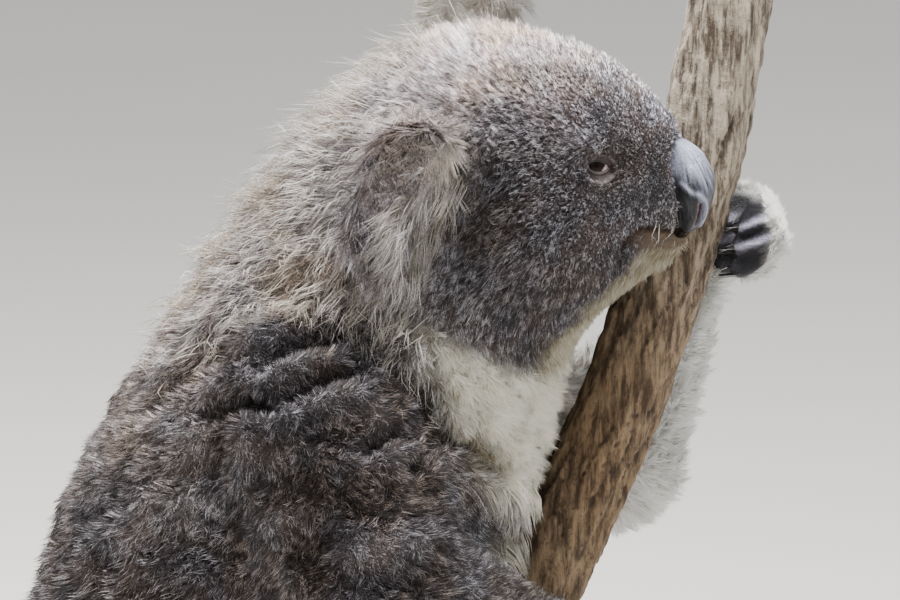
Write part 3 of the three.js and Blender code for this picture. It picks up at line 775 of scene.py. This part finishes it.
def thatch(name, spots, out, width, fields):
    """One mesh of pointed three-sided solids through the joints of many hairs."""
    count, rings = len(spots), spots.shape[1] - 1
    ahead = unit(spots[:, 1] - spots[:, 0])
    across = unit(np.cross(ahead, out))
    over = np.cross(across, ahead)
    turns = np.arange(3) * 2 * np.pi / 3
    spoke = across[:, None] * np.cos(turns)[None, :, None] + over[:, None] * np.sin(turns)[None, :, None]
    size = (width / 2)[:, None, None, None] * (1 - (np.arange(rings) / rings) ** TAPER)[None, :, None, None]
    tube = spots[:, :rings, None] + spoke[:, None] * size
    points = np.concatenate([tube.reshape(count, -1, 3), spots[:, -1:]], 1)
    faces = []
    for r in range(rings - 1):
        for k in range(3):
            a, b = 3 * r + k, 3 * r + (k + 1) % 3
            faces += [(a, b, b + 3), (a, b + 3, a + 3)]
    faces += [(3 * rings - 3 + k, 3 * rings - 3 + (k + 1) % 3, 3 * rings) for k in range(3)]
    each = points.shape[1]
    every = (np.array(faces)[None] + (np.arange(count) * each)[:, None, None]).reshape(-1)
    mesh = bpy.data.meshes.new(name)
    mesh.vertices.add(count * each)
    mesh.vertices.foreach_set("co", points.astype(np.float32).ravel())
    mesh.loops.add(len(every))
    mesh.loops.foreach_set("vertex_index", every.astype(np.int32))
    mesh.polygons.add(len(every) // 3)
    mesh.polygons.foreach_set("loop_start", np.arange(0, len(every), 3, dtype=np.int32))
    mesh.polygons.foreach_set("use_smooth", np.ones(len(every) // 3, bool))
    mesh.update(calc_edges=True)
    step = np.append(np.repeat(np.arange(rings), 3), rings) / rings
    note_fields(mesh, along=np.tile(step, count), **{key: np.repeat(v, each, 0) for key, v in fields.items()})
    root = fields["root"]
    middle = root.mean(0)
    axis = np.linalg.svd((root - middle)[:: max(1, count // 2000)], full_matrices=False)[2][0]
    ring = np.stack([np.cos(turns), np.sin(turns)], 1) * HAIR_ON_MAP
    patch = np.concatenate([np.tile(ring, (rings, 1)) * (1 - step[:-1, None] * 0.6), [[0, 0]]])
    flat = (unwrapped(root, middle, axis)[:, None] + patch[None]).reshape(-1, 2)[every]
    mesh.uv_layers.new(name="OFBake").data.foreach_set("uv", flat.astype(np.float32).ravel())
    piece = bpy.data.objects.new(name, mesh)
    bpy.context.scene.collection.objects.link(piece)
    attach(piece, "root")
    return piece


def grow_coat(name, where, count, seed, width, joints=2, lock=12, tangle=0.4, gathering=0.6,
              hang=0.0, grow=1.0, lifted=1.0, paler=0.0, motley=0.1):
    """Grows a piece of coat of `count` hairs where the mask is, in clumps of `lock` hairs.

    tangle is how far hairs stray from the lie, gathering how far a clump closes at its tips, hang how
    far they droop, grow and lifted how much longer and steeper they are, and motley how the clumps differ.
    """
    dice = np.random.default_rng(seed)
    weight = (area * (where * (1 - bare) * closeness)[skin.triangles].mean(1)).cumsum()

    def sow(amount):
        pick = np.searchsorted(weight, dice.random(amount) * weight[-1])
        u, v = dice.random((2, amount))
        flip = u + v > 1
        u[flip], v[flip] = 1 - u[flip], 1 - v[flip]
        share = np.stack([1 - u - v, u, v], 1)
        return lambda values: np.einsum("nk,nk...->n...", share, values[skin.triangles[pick]])

    def paths(at_root, amount, stray):
        root, out, down = at_root(skin.points), unit(at_root(facing)), unit(at_root(lie))
        reach = at_root(length) / 1000 * dice.uniform(0.7, 1.2, amount) * grow
        lift = np.clip(at_root(rise) * lifted * dice.uniform(0.65, 1.35, amount), 0.05, 0.95)[:, None]
        swing = dice.normal(0, stray, amount)[:, None]
        down = unit(down + np.cross(out, down) * swing)
        first = down * np.sqrt(1 - lift ** 2) + out * lift
        droop = lift * (0.3 if joints > 1 else 1.0)
        curl = dice.normal(0, stray * 0.6, (amount, 3)) + np.array((-0.4, 0, -1)) * hang
        second = down * np.sqrt(1 - droop ** 2) + out * droop + curl
        spots = strands(root - out * 0.0006, first, second, reach, joints)
        if joints > 2:
            spots[:, 1:] += np.cross(out, first)[:, None] * dice.normal(0, 0.0012, (amount, joints, 1))
        return root, out, spots

    leaders = max(8, count // lock)
    lead_root, _, lead_spots = paths(sow(leaders), leaders, tangle)
    lead_tone = dice.normal(0, motley, leaders)
    tree = KDTree(leaders)
    for k, spot in enumerate(lead_root.tolist()):
        tree.insert(spot, k)
    tree.balance()
    at_root = sow(count)
    root, out, spots = paths(at_root, count, tangle * 0.6)
    apart = math.sqrt(weight[-1] / closeness.mean() / leaders)
    fuzzy = root + dice.normal(0, 0.25, (count, 3)) * apart
    leader = np.array([tree.find(spot)[1] for spot in fuzzy.tolist()])
    t = np.linspace(0, 1, joints + 1)[None, :, None]
    led = lead_spots[leader] + (root - lead_root[leader])[:, None] * (1 - gathering * t)
    hold = dice.uniform(0.55, 1.0, count)[:, None, None]
    spots = blend(spots, led, hold * np.minimum(t * 2, 1))
    tone = 0.5 + lead_tone[leader] + dice.normal(0, 0.2, count) + ripple(root, 0.008, 8) * 0.12
    fields = {"root": root, "shade": np.clip(tone, 0, 1), "pale": np.clip(at_root(pale) + paler, 0, 1),
              "tan": at_root(tan), "dark": at_root(dark) * (1 - paler), "frost": at_root(frost)}
    slot = "pale_coat" if fields["pale"].mean() > 0.5 else "grey_coat"
    piece = thatch(name, spots, out, width * dice.uniform(0.7, 1.3, count), fields)
    piece.data.materials.append(coat_material)
    return piece


def coat_finish():
    """Each hair is pale or dark by its own shade and along its length, with fine frizz on top."""
    finish = Finish("koala_coat", roughness=0.6, specular_ior_level=0.3)
    frizz = 1.5 - finish.field("pale") * 1.3 + finish.field("tan") * 0.6 - finish.field("dark") * 0.4
    curls = (finish.noise(finish.own_place(), 800.0, 2.0, 0.7) - 0.5) * frizz
    along = finish.field("along") + curls * 0.5
    return finish.out(base_color=coat_colour(finish, along, finish.field("shade") + curls * 0.9))


coat_material = coat_finish()
fore_half = ease(2, 10, place[:, 0])
top_half = ease(24, 36, place[:, 2])
right_half = ease(1.0, -1.0, place[:, 1])
short = {"joints": 1, "tangle": 0.6}
wool = {"joints": 1, "lock": 7, "tangle": 1.1, "gathering": 0.4, "motley": 0.2}
crown_wool = {"joints": 1, "lock": 9, "tangle": 1.0, "gathering": 0.65, "motley": 0.42}
drape = {"lock": 40, "tangle": 0.25, "gathering": 0.85, "grow": 2.4, "lifted": 0.8, "motley": 0.25}
face_right, face_left = on_face * fore_half * right_half, on_face * fore_half * (1 - right_half)
cheeks, top = on_face * (1 - fore_half) * (1 - top_half), on_face * (1 - fore_half) * top_half
pale_front, grey_rear = part_mask("chest", "belly") * pale, part_mask("belly", "rump") * (1 - pale)
# Each piece of coat: where it grows, its number of hairs, its seed and a hair's width at the root.
grow_coat("coat_face_right", face_right, 56000, 21, 0.0004, lock=5, motley=0.16, **short)
grow_coat("coat_face_left", face_left, 12000, 33, 0.0009, lock=10, **short)
grow_coat("coat_cheeks", cheeks, 40000, 22, 0.0005, lock=8, motley=0.2, **short)
grow_coat("coat_crown", top, 48000, 23, 0.0005, **crown_wool)
grow_coat("coat_neck", part_mask("neck"), 40000, 26, 0.0006, **wool)
grow_coat("coat_chest", part_mask("chest") * (1 - pale), 39000, 27, 0.0005, **wool)
grow_coat("coat_breast", pale_front, 11000, 34, 0.00065, **drape)
grow_coat("coat_belly", grey_rear, 24000, 28, 0.0009, **wool)
grow_coat("coat_arm_right", near_arm, 60000, 29, 0.00047, **wool)
grow_coat("coat_arm_left", far_arm, 24000, 30, 0.0006, lock=12, grow=1.6, **short)
grow_coat("coat_legs", part_mask("thigh", "shank"), 20000, 31, 0.0013, **wool)
grow_coat("coat_paws", part_mask("hand_right", "foot"), 16000, 32, 0.0005, joints=1, tangle=0.7,
          grow=1.5, motley=0.2)
grow_coat("coat_hand_left", far_hand, 9000, 35, 0.0005, lock=6, grow=1.35, **short)

fluff = {"joints": 1, "lock": 12, "tangle": 1.1, "grow": 1.15, "motley": 0.25}
locks = {"joints": 3, "lock": 9, "tangle": 0.8, "gathering": 0.8, "hang": 0.7, "motley": 0.3,
         "grow": 2.5, "paler": 0.3}
shag = {**locks, "lock": 8, "motley": 0.15, "grow": 1.6, "paler": 0.0}
for name, amount, seed in (("ear_right", 15000, 24), ("ear_left", 7000, 25)):
    ear = part_mask(name)
    front = ear * ease(-14, 8, place[:, 2]) * ease(34, 22, place[:, 2]) * ease(-40, -22, place[:, 0])
    low = ear * (1 - front) * ease(30, 10, place[:, 2])
    grow_coat(f"coat_{name}", ear, amount, seed, 0.0005, **fluff)
    grow_coat(f"locks_{name}", front, amount // 8, seed + 20, 0.00042, **locks)
    grow_coat(f"shag_{name}", low, amount // 7, seed + 30, 0.00045, **shag)

whiskery = on_face * ease(0.3, 0.8, bulge(place, (74, 24, -15), (11, 9, 7)))
stiff = {"joints": 3, "lock": 1, "tangle": 0.9, "gathering": 0.0, "hang": 0.5, "grow": 4.0, "paler": 1.0}
grow_coat("whiskers", whiskery, 9, 62, 0.0002, **stiff)
strays = 1 - part_mask("head", "lower_jaw", "hand", "foot") * 0.8
strays = strays + 2.5 * part_mask("head", "neck") * ease(10, -30, place[:, 0])
grow_coat("coat_strays", strays, 3000, 61, 0.0003, lock=1, tangle=0.8, grow=1.7, paler=0.15)
hackles = part_mask("head", "neck") * ease(-20, -50, place[:, 0])
hackles += part_mask("chest") * ease(0.48, 0.54, z) * ease(0.0, -0.06, x)
bristly = {"lock": 3, "tangle": 0.7, "gathering": 0.8, "grow": 2.5, "lifted": 1.25, "paler": 0.3}
grow_coat("guard_hairs", hackles, 4000, 63, 0.0005, **bristly)

# ============================================================ the eyes
# Small, dark brown and wet, with an upright slit for a pupil and a pale inner corner. The lids are bare,
# pinkish-brown skin round a narrow almond opening that slants down to the nose.

EYE_RADIUS = 8.6  # millimetres, as are all sizes round the eye
BALL_RINGS, BALL_SIDES, LID_SIDES = 41, 64, 72
OPENING = {"long": 5.6, "above": 3.7, "below": 2.7}
LID_BEND = 0.0175  # draws the opening narrower towards its corners
LID_EDGE = (8.9, 6.9)  # where the lids end on the skin, the long way and the tall way
LID_STEPS = ((-0.8, 0.0), (-0.2, 0.1), (0.05, 0.45), (0.5, 0.7), (1.1, 0.75), (1.7, 0.6))  # (out, height)


def ring_quads(rings, sides, inside_out):
    """The faces between rings of points that follow one another."""
    quads = []
    for k in range(rings - 1):
        for s in range(sides):
            a, b = k * sides + s, k * sides + (s + 1) % sides
            quads.append((b, b + sides, a + sides, a) if inside_out else (a, a + sides, b + sides, b))
    return quads


def eye_finish():
    """A dark brown iris, a black upright pupil and a pale pinkish inner corner, all wet."""
    finish = Finish("eye", roughness=0.08, specular_ior_level=0.12)
    spot = finish.field("spot", 1)
    iris = finish.mix(colour("100a07"), colour("27160d"), finish.noise(spot, 0.9))
    tone = finish.mix(iris, colour("040303"), finish.field("pupil"))
    corner = finish.mix(colour("7c6a6b"), colour("c0b2b6"), finish.noise(spot, 0.8).between(0.35, 0.6))
    return finish.out(base_color=finish.mix(tone, corner, finish.field("corner")))


def lid_finish():
    """Mottled brown skin, nearly black along the upper rim, with a painted wet sheen along the lower one."""
    finish = Finish("eyelid", roughness=0.55)
    at = finish.field("root", 1)
    mottle = finish.noise(at, 500.0)
    below = finish.mix(colour("332b29"), colour("4e423f"), mottle.between(0.3, 0.7))
    above = finish.mix(colour("332b29"), colour("534744"), mottle.between(0.3, 0.7))
    tone = finish.mix(below, above, finish.field("above"))
    tone = finish.mix(tone, colour("15100f"), finish.field("rim"))
    # Painted sheen: the wet lower rim is lightened.
    tone = finish.mix(tone, colour("756662"), finish.field("wet"))
    return finish.out(base_color=tone, normal=finish.bump(finish.noise(at, 1500.0, 2.0), 0.0004))


eye_material, lid_material = eye_finish(), lid_finish()
for name, eye in EYES.items():
    side = np.sign(eye.skin[1])
    outward, long_way, tall_way = eye.outward, eye.long_way, eye.tall_way
    ball_middle = eye.skin - outward * (EYE_RADIUS + 1.0)
    turns = np.arange(BALL_SIDES) * 2 * np.pi / BALL_SIDES
    polar, about = np.meshgrid(np.linspace(0, np.pi, BALL_RINGS), turns, indexing="ij")
    u, v, w = np.sin(polar) * np.cos(about), np.sin(polar) * np.sin(about), np.cos(polar)
    local = np.stack([u, v, w], -1).reshape(-1, 3) * EYE_RADIUS
    ball_points = ball_middle + local[:, :1] * long_way + local[:, 1:2] * tall_way + local[:, 2:] * outward
    ball = new_piece(f"{name}_ball", from_head(ball_points), ring_quads(BALL_RINGS, BALL_SIDES, side < 0))
    pupil = np.exp(-(((local[:, 0] + 1.5) / 0.9) ** 4) - (local[:, 1] / 3.4) ** 4) * (local[:, 2] > 0)
    inner = ease(2.0, 2.6, local[:, 0] - 0.5 * local[:, 1]) * (local[:, 2] > 0)
    note_fields(ball.data, spot=local, pupil=pupil, corner=inner)
    ball.data.materials.append(eye_material)
    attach(ball, "root")
    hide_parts(name)

    lid_points, rims = [], []
    turns = np.arange(LID_SIDES) * 2 * np.pi / LID_SIDES
    sideways, upright = np.cos(turns), np.sin(turns)
    for step, lift in LID_STEPS:
        a = (OPENING["long"] + step) * np.sign(sideways) * abs(sideways) ** 0.9
        tall = np.where(upright > 0, OPENING["above"], OPENING["below"])
        b = (tall * abs(upright) ** 1.15 + step * abs(upright)) * np.sign(upright)
        b = b - LID_BEND * (a + 2) ** 2 * np.sign(upright)
        on_ball = np.sqrt(np.maximum(EYE_RADIUS ** 2 - a ** 2 - b ** 2, 4.0))
        height = on_ball + lift * (1 + 0.6 * np.maximum(upright, 0))
        over_eye = a[:, None] * long_way + b[:, None] * tall_way + height[:, None] * outward
        lid_points.append(ball_middle + over_eye)
        rims.append(np.full(LID_SIDES, math.exp(-((step + 0.1) / 0.5) ** 2)))
    edge = sideways[:, None] * LID_EDGE[0] * long_way + upright[:, None] * LID_EDGE[1] * tall_way
    last_free, on_skin = lid_points[-1], eye.drop(eye.skin + edge) - outward * 0.5
    for t in (0.3, 0.6, 0.85, 1.0):
        lid_points.append(blend(last_free, on_skin, t) + outward * math.sin(math.pi * t))
        rims.append(np.zeros(LID_SIDES))
    spots = from_head(np.concatenate(lid_points))
    lids = new_piece(f"{name}_lids", spots, ring_quads(len(lid_points), LID_SIDES, side > 0))
    rims, above = np.concatenate(rims), np.tile(ease(-0.35, 0.35, upright), len(lid_points))
    note_fields(lids.data, root=spots, rim=rims * above, wet=rims * (1 - above) * 0.55, above=above)
    smooth = lids.modifiers.new("smooth", "SUBSURF")
    smooth.levels = smooth.render_levels = 1
    lids.data.materials.append(lid_material)
    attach(lids, "root")

# ============================================================ the nose
# A tall bare pad of slate-grey skin, finely wrinkled down its length. Comma-shaped nostrils open at its
# lower sides, each behind a raised ridge, and a shallow groove parts them in the middle.

# Lines on the unrolled pad, in millimetres: (round it from the middle, up).
NOSTRIL = np.array([(11.7, -13.2), (12.1, -15), (12.8, -17), (13.5, -19.8), (13.8, -22)], float)
NOSTRIL_RIDGE = np.array([(20, -1), (14.5, -6.2), (11.6, -8.8), (9.7, -12.2), (9.3, -15.8), (10.2, -20),
                          (11, -25)], float)
NOSE_GRAIN = 0.0005
nose_piece = new_piece("nose_pad", *arrays_of(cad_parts["nose"].data))
nose = Surface(remeshed(nose_piece, NOSE_GRAIN))
nose.points = nose.relax(nose.points, 70)
spot = on_head(nose.points)
round_nose = np.arctan2(abs(spot[:, 1]), spot[:, 0] - 80)
flat = np.stack([round_nose * 16, spot[:, 2]], 1)
way = distance_to_line(flat, NOSTRIL)
ridge = np.exp(-((distance_to_line(flat, NOSTRIL_RIDGE) / 1.3) ** 2))
past_nostril = flat[:, 0] - np.interp(flat[:, 1], NOSTRIL[::-1, 1], NOSTRIL[::-1, 0])
wing = bulge(spot, (88, 15.5, -17), (6, 5, 7.5))
push = 0.9 + 1.8 * bulge(spot, (78, 15, 11), (9, 7, 9)) + 1.6 * wing + 1.3 * ridge
push -= 5.0 * np.exp(-((way / 0.9) ** 2)) + 3.5 * ease(18.0, 21.0, flat[:, 0]) * ease(6, -4, spot[:, 2])
push -= 1.8 * np.exp(-((spot[:, 1] / 3.4) ** 2)) * ease(-10, -16, spot[:, 2])
wrinkled = ease(-12, -4, spot[:, 2]) * ease(24, 12, spot[:, 2]) * ease(22, 15, flat[:, 0])
wrinkles = ripple(np.stack([flat[:, 0], flat[:, 1] * 0.13, spot[:, 1] * 0], 1), 2.1, 71)
push += 0.28 * wrinkles * wrinkled
nose.points += nose.normals() * push[:, None] / 1000
nose.points = nose.relax(nose.points, 2)
nose.store()
# Painted shade: black under the pad, in the middle groove and on the wing behind the nostril.
groove = np.exp(-((spot[:, 1] / 6) ** 4)) * ease(-12, -17, spot[:, 2])
low = ease(13.6, 15.5, flat[:, 0] + 0.25 * (spot[:, 2] + 16)) * ease(6, -6, spot[:, 2])
low = np.maximum.reduce([low, ease(-22, -27, spot[:, 2]), groove * 0.8]) * (1 - ridge * 0.8)
fleshy = np.exp(-(((past_nostril - 1.7) / 0.7) ** 2))
fleshy = fleshy * ease(-26, -22, spot[:, 2]) * ease(-10, -13, spot[:, 2])
# Painted highlight: bluish white on the pad's upper front, along the ridge and on the crests of the wrinkles.
high = ease(-10, 10, spot[:, 2]) * ease(24, 9, flat[:, 0]) + ridge * 0.5 + wrinkles * wrinkled * 0.25
nose.note(rim=np.exp(-((way / 1.25) ** 2)), fleshy=fleshy, grain=on_head(nose.points), low=low, high=high)


def nose_finish():
    """Slate-grey, with a painted bluish highlight above, painted shade underneath and in the nostril, and a
    fleshy brown nostril.
    """
    finish = Finish("nose_skin", specular_ior_level=0.5)
    at = finish.field("grain", 1)
    rim, low_field = finish.field("rim"), finish.field("low")
    folds = finish.noise(finish.stretch(at, (0.8, 1.0, 0.16)), 0.8, 3.0, 0.6)
    pores = finish.node("ShaderNodeTexVoronoi", {"feature": "DISTANCE_TO_EDGE"}, {"Vector": at, "Scale": 0.9})
    # Painted highlight towards a bluish white.
    tone = finish.mix(colour("33343f"), colour("d8dcf4"), finish.field("high") * 0.75 + folds * 0.25)
    # Painted shade underneath.
    tone = finish.mix(tone, colour("08070a"), low_field * 0.95)
    tone = finish.mix(tone, colour("80594c"), finish.field("fleshy") * 0.7)
    tone = finish.mix(tone, colour("3a1a14"), rim.between(0.35, 0.7))
    # Painted shade inside the nostril's slit.
    tone = finish.mix(tone, colour("0d0606"), rim.between(0.65, 0.9))
    roughness = 0.3 + folds * 0.2 + low_field * 0.3
    height = folds.between(0.35, 0.65) + pores.between(0.0, 0.15) * 0.4
    return finish.out(base_color=tone, roughness=roughness, normal=finish.bump(height, 0.0009))


nose_piece.data.materials.append(nose_finish())
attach(nose_piece, "root")
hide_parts("nose")

# ============================================================ the claws
# Long, dark and hooked, one on each finger and toe but the first toe.

CLAW_FULLNESS = 0.0007  # makes up for what the rounding takes away


def horn_finish():
    finish = Finish("claw_horn", roughness=0.35)
    grain = finish.noise(finish.own_place(), 300.0)
    return finish.out(base_color=finish.mix(colour("070606"), colour("241d18"), grain))


claw_material = horn_finish()
for name in [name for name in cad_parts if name.startswith("claw")]:
    claw = new_piece(f"{name}_horn", *swollen(name, CLAW_FULLNESS))
    rounding = claw.modifiers.new("round", "SUBSURF")
    rounding.levels = rounding.render_levels = 2
    claw.data.materials.append(claw_material)
    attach(claw, "root")
    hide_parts(name)

# ============================================================ the stem
# A cut length of a rough grey-brown gum stem, its bark streaked and cracked along its length.

STEM_GRAIN = 0.0020
BARK_ROUND, BARK_LONG = 0.022, 0.16  # the bark's pattern is laid round the stem and drawn out along it
stem_piece = new_piece("stem_bark", *arrays_of(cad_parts["perch_stem"].data))
stem = Surface(remeshed(stem_piece, STEM_GRAIN))
stem.points = stem.relax(stem.points, 12)
height = stem.points[:, 2]
levels = np.arange(0.08, 0.70, 0.01)
bins = np.clip(np.digitize(height, levels), 1, len(levels)) - 1
totals = np.bincount(bins, minlength=len(levels))
middles = gather(bins, stem.points, len(levels)) / np.maximum(totals, 1)[:, None]
heart_x, heart_y = (np.interp(height, levels + 0.005, middles[:, k]) for k in (0, 1))
around = np.arctan2(stem.points[:, 1] - heart_y, stem.points[:, 0] - heart_x)
unrolled = np.stack([np.cos(around) * BARK_ROUND, np.sin(around) * BARK_ROUND, height * BARK_LONG], 1)
plates = ripple(unrolled, 0.016, 41) + 0.6 * ripple(unrolled, 0.007, 42)
cracks = np.exp(-((plates / 0.16) ** 2)) * ease(-0.6, 0.5, ripple(stem.points, 0.07, 43))
fibres = ripple(unrolled, 0.0035, 44)
flakes = ripple(stem.points, 0.012, 45)
on_side = 1 - ease(0.75, 0.95, abs(stem.normals()[:, 2]))
relief = 0.9 * np.tanh(plates * 1.5) - 1.5 * cracks + 0.35 * fibres + 0.3 * flakes - 0.5
stem.points = stem.points + stem.normals() * (relief * on_side / 1000)[:, None]
stem.store()
# The upper stem is paler; lower down the bark is browner and darker, partly older bark, partly painted shade
# under the head.
stem.note(root=stem.points, crack=cracks * on_side, cut=1 - on_side, weather=ease(0.47, 0.62, height))


def bark_finish():
    finish = Finish("bark", roughness=0.9)
    at = finish.field("root", 1)
    long_ways = finish.stretch(at, (1.0, 1.0, 0.14))
    streak = finish.noise(long_ways, 260.0, 6.0, 0.7)
    speck = finish.noise(at, 420.0, 4.0, 0.7)
    young = finish.mix(colour("43382d"), colour("ab9f8c"), streak.between(0.38, 0.62))
    old = finish.mix(colour("3b2a17"), colour("7b6040"), streak.between(0.35, 0.65))
    # Darker, browner bark lower down: partly its own colour, partly painted shade.
    tone = finish.mix(old, young, finish.field("weather") * 0.75 + finish.noise(at, 26.0) * 0.3)
    tone = finish.mix(tone, colour("2f251b"), speck.between(0.55, 0.72) * 0.75)
    tone = finish.mix(tone, colour("241a12"), finish.field("crack") * 0.8)
    tone = finish.mix(tone, colour("b79d78"), finish.field("cut"))
    height = streak * 0.6 + speck * 0.5
    return finish.out(base_color=tone, normal=finish.bump(height, 0.002))


stem_piece.data.materials.append(bark_finish())
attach(stem_piece, "root")
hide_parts("perch_stem")

# ============================================================ the stand
# A flat base of dark stained wood with rounded edges, and one brushed steel rod up to the stem's foot.


def wood_finish():
    finish = Finish("stained_wood", roughness=0.45)
    grain = finish.noise(finish.stretch(finish.own_place(), (0.12, 1.0, 1.0)), 90.0, 5.0, 0.6)
    return finish.out(base_color=finish.mix(colour("2c1c12"), colour("5a3a24"), grain.between(0.35, 0.65)))


def steel_finish():
    finish = Finish("steel", roughness=0.3, metallic=1.0)
    rub = finish.noise(finish.stretch(finish.own_place(), (1.0, 1.0, 40.0)), 120.0)
    return finish.out(base_color=finish.mix(colour("8d9093"), colour("b5b8ba"), rub))


for name, material in (("stand_base", wood_finish()), ("stand_rod", steel_finish())):
    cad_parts[name].data.materials.clear()
    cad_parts[name].data.materials.append(material)

# ============================================================ the floor and the lights
# A wide pale floor under a soft studio light.

FLOOR = np.array([(-1, -1, 0), (1, -1, 0), (1, 1, 0), (-1, 1, 0)]) * 40.0
floor = new_piece("floor", FLOOR, [(0, 1, 2, 3)])
floor_finish = Finish("floor", roughness=0.9)
mottle = floor_finish.noise(floor_finish.own_place(), 1.5)
floor.data.materials.append(floor_finish.out(
    base_color=floor_finish.mix(colour("d9d6d0"), colour("e3e0da"), mottle)))


def add_light(name, spot, size, power, tint):
    """A round soft light that looks at the middle of the koala."""
    light = bpy.data.lights.new(name, "AREA")
    light.shape = "DISK"
    light.size = size
    light.energy = power
    light.color = tint
    lamp = bpy.data.objects.new(name, light)
    lamp.location = spot
    lamp.rotation_euler = (Vector((0.03, 0, 0.45)) - Vector(spot)).to_track_quat("-Z", "Y").to_euler()
    bpy.context.scene.collection.objects.link(lamp)


add_light("key", (0.05, -0.55, 2.3), 1.0, 95, (1.0, 0.99, 1.0))
add_light("side", (1.7, -0.9, 1.3), 1.4, 12, (0.94, 0.97, 1.0))
add_light("rear", (-0.9, 1.0, 2.2), 1.0, 140, (1.0, 1.0, 1.0))
world = bpy.data.worlds.new("studio")
world.use_nodes = True
world.node_tree.nodes["Background"].inputs[0].default_value = (0.86, 0.87, 0.9, 1)
world.node_tree.nodes["Background"].inputs[1].default_value = 0.85
bpy.context.scene.world = world
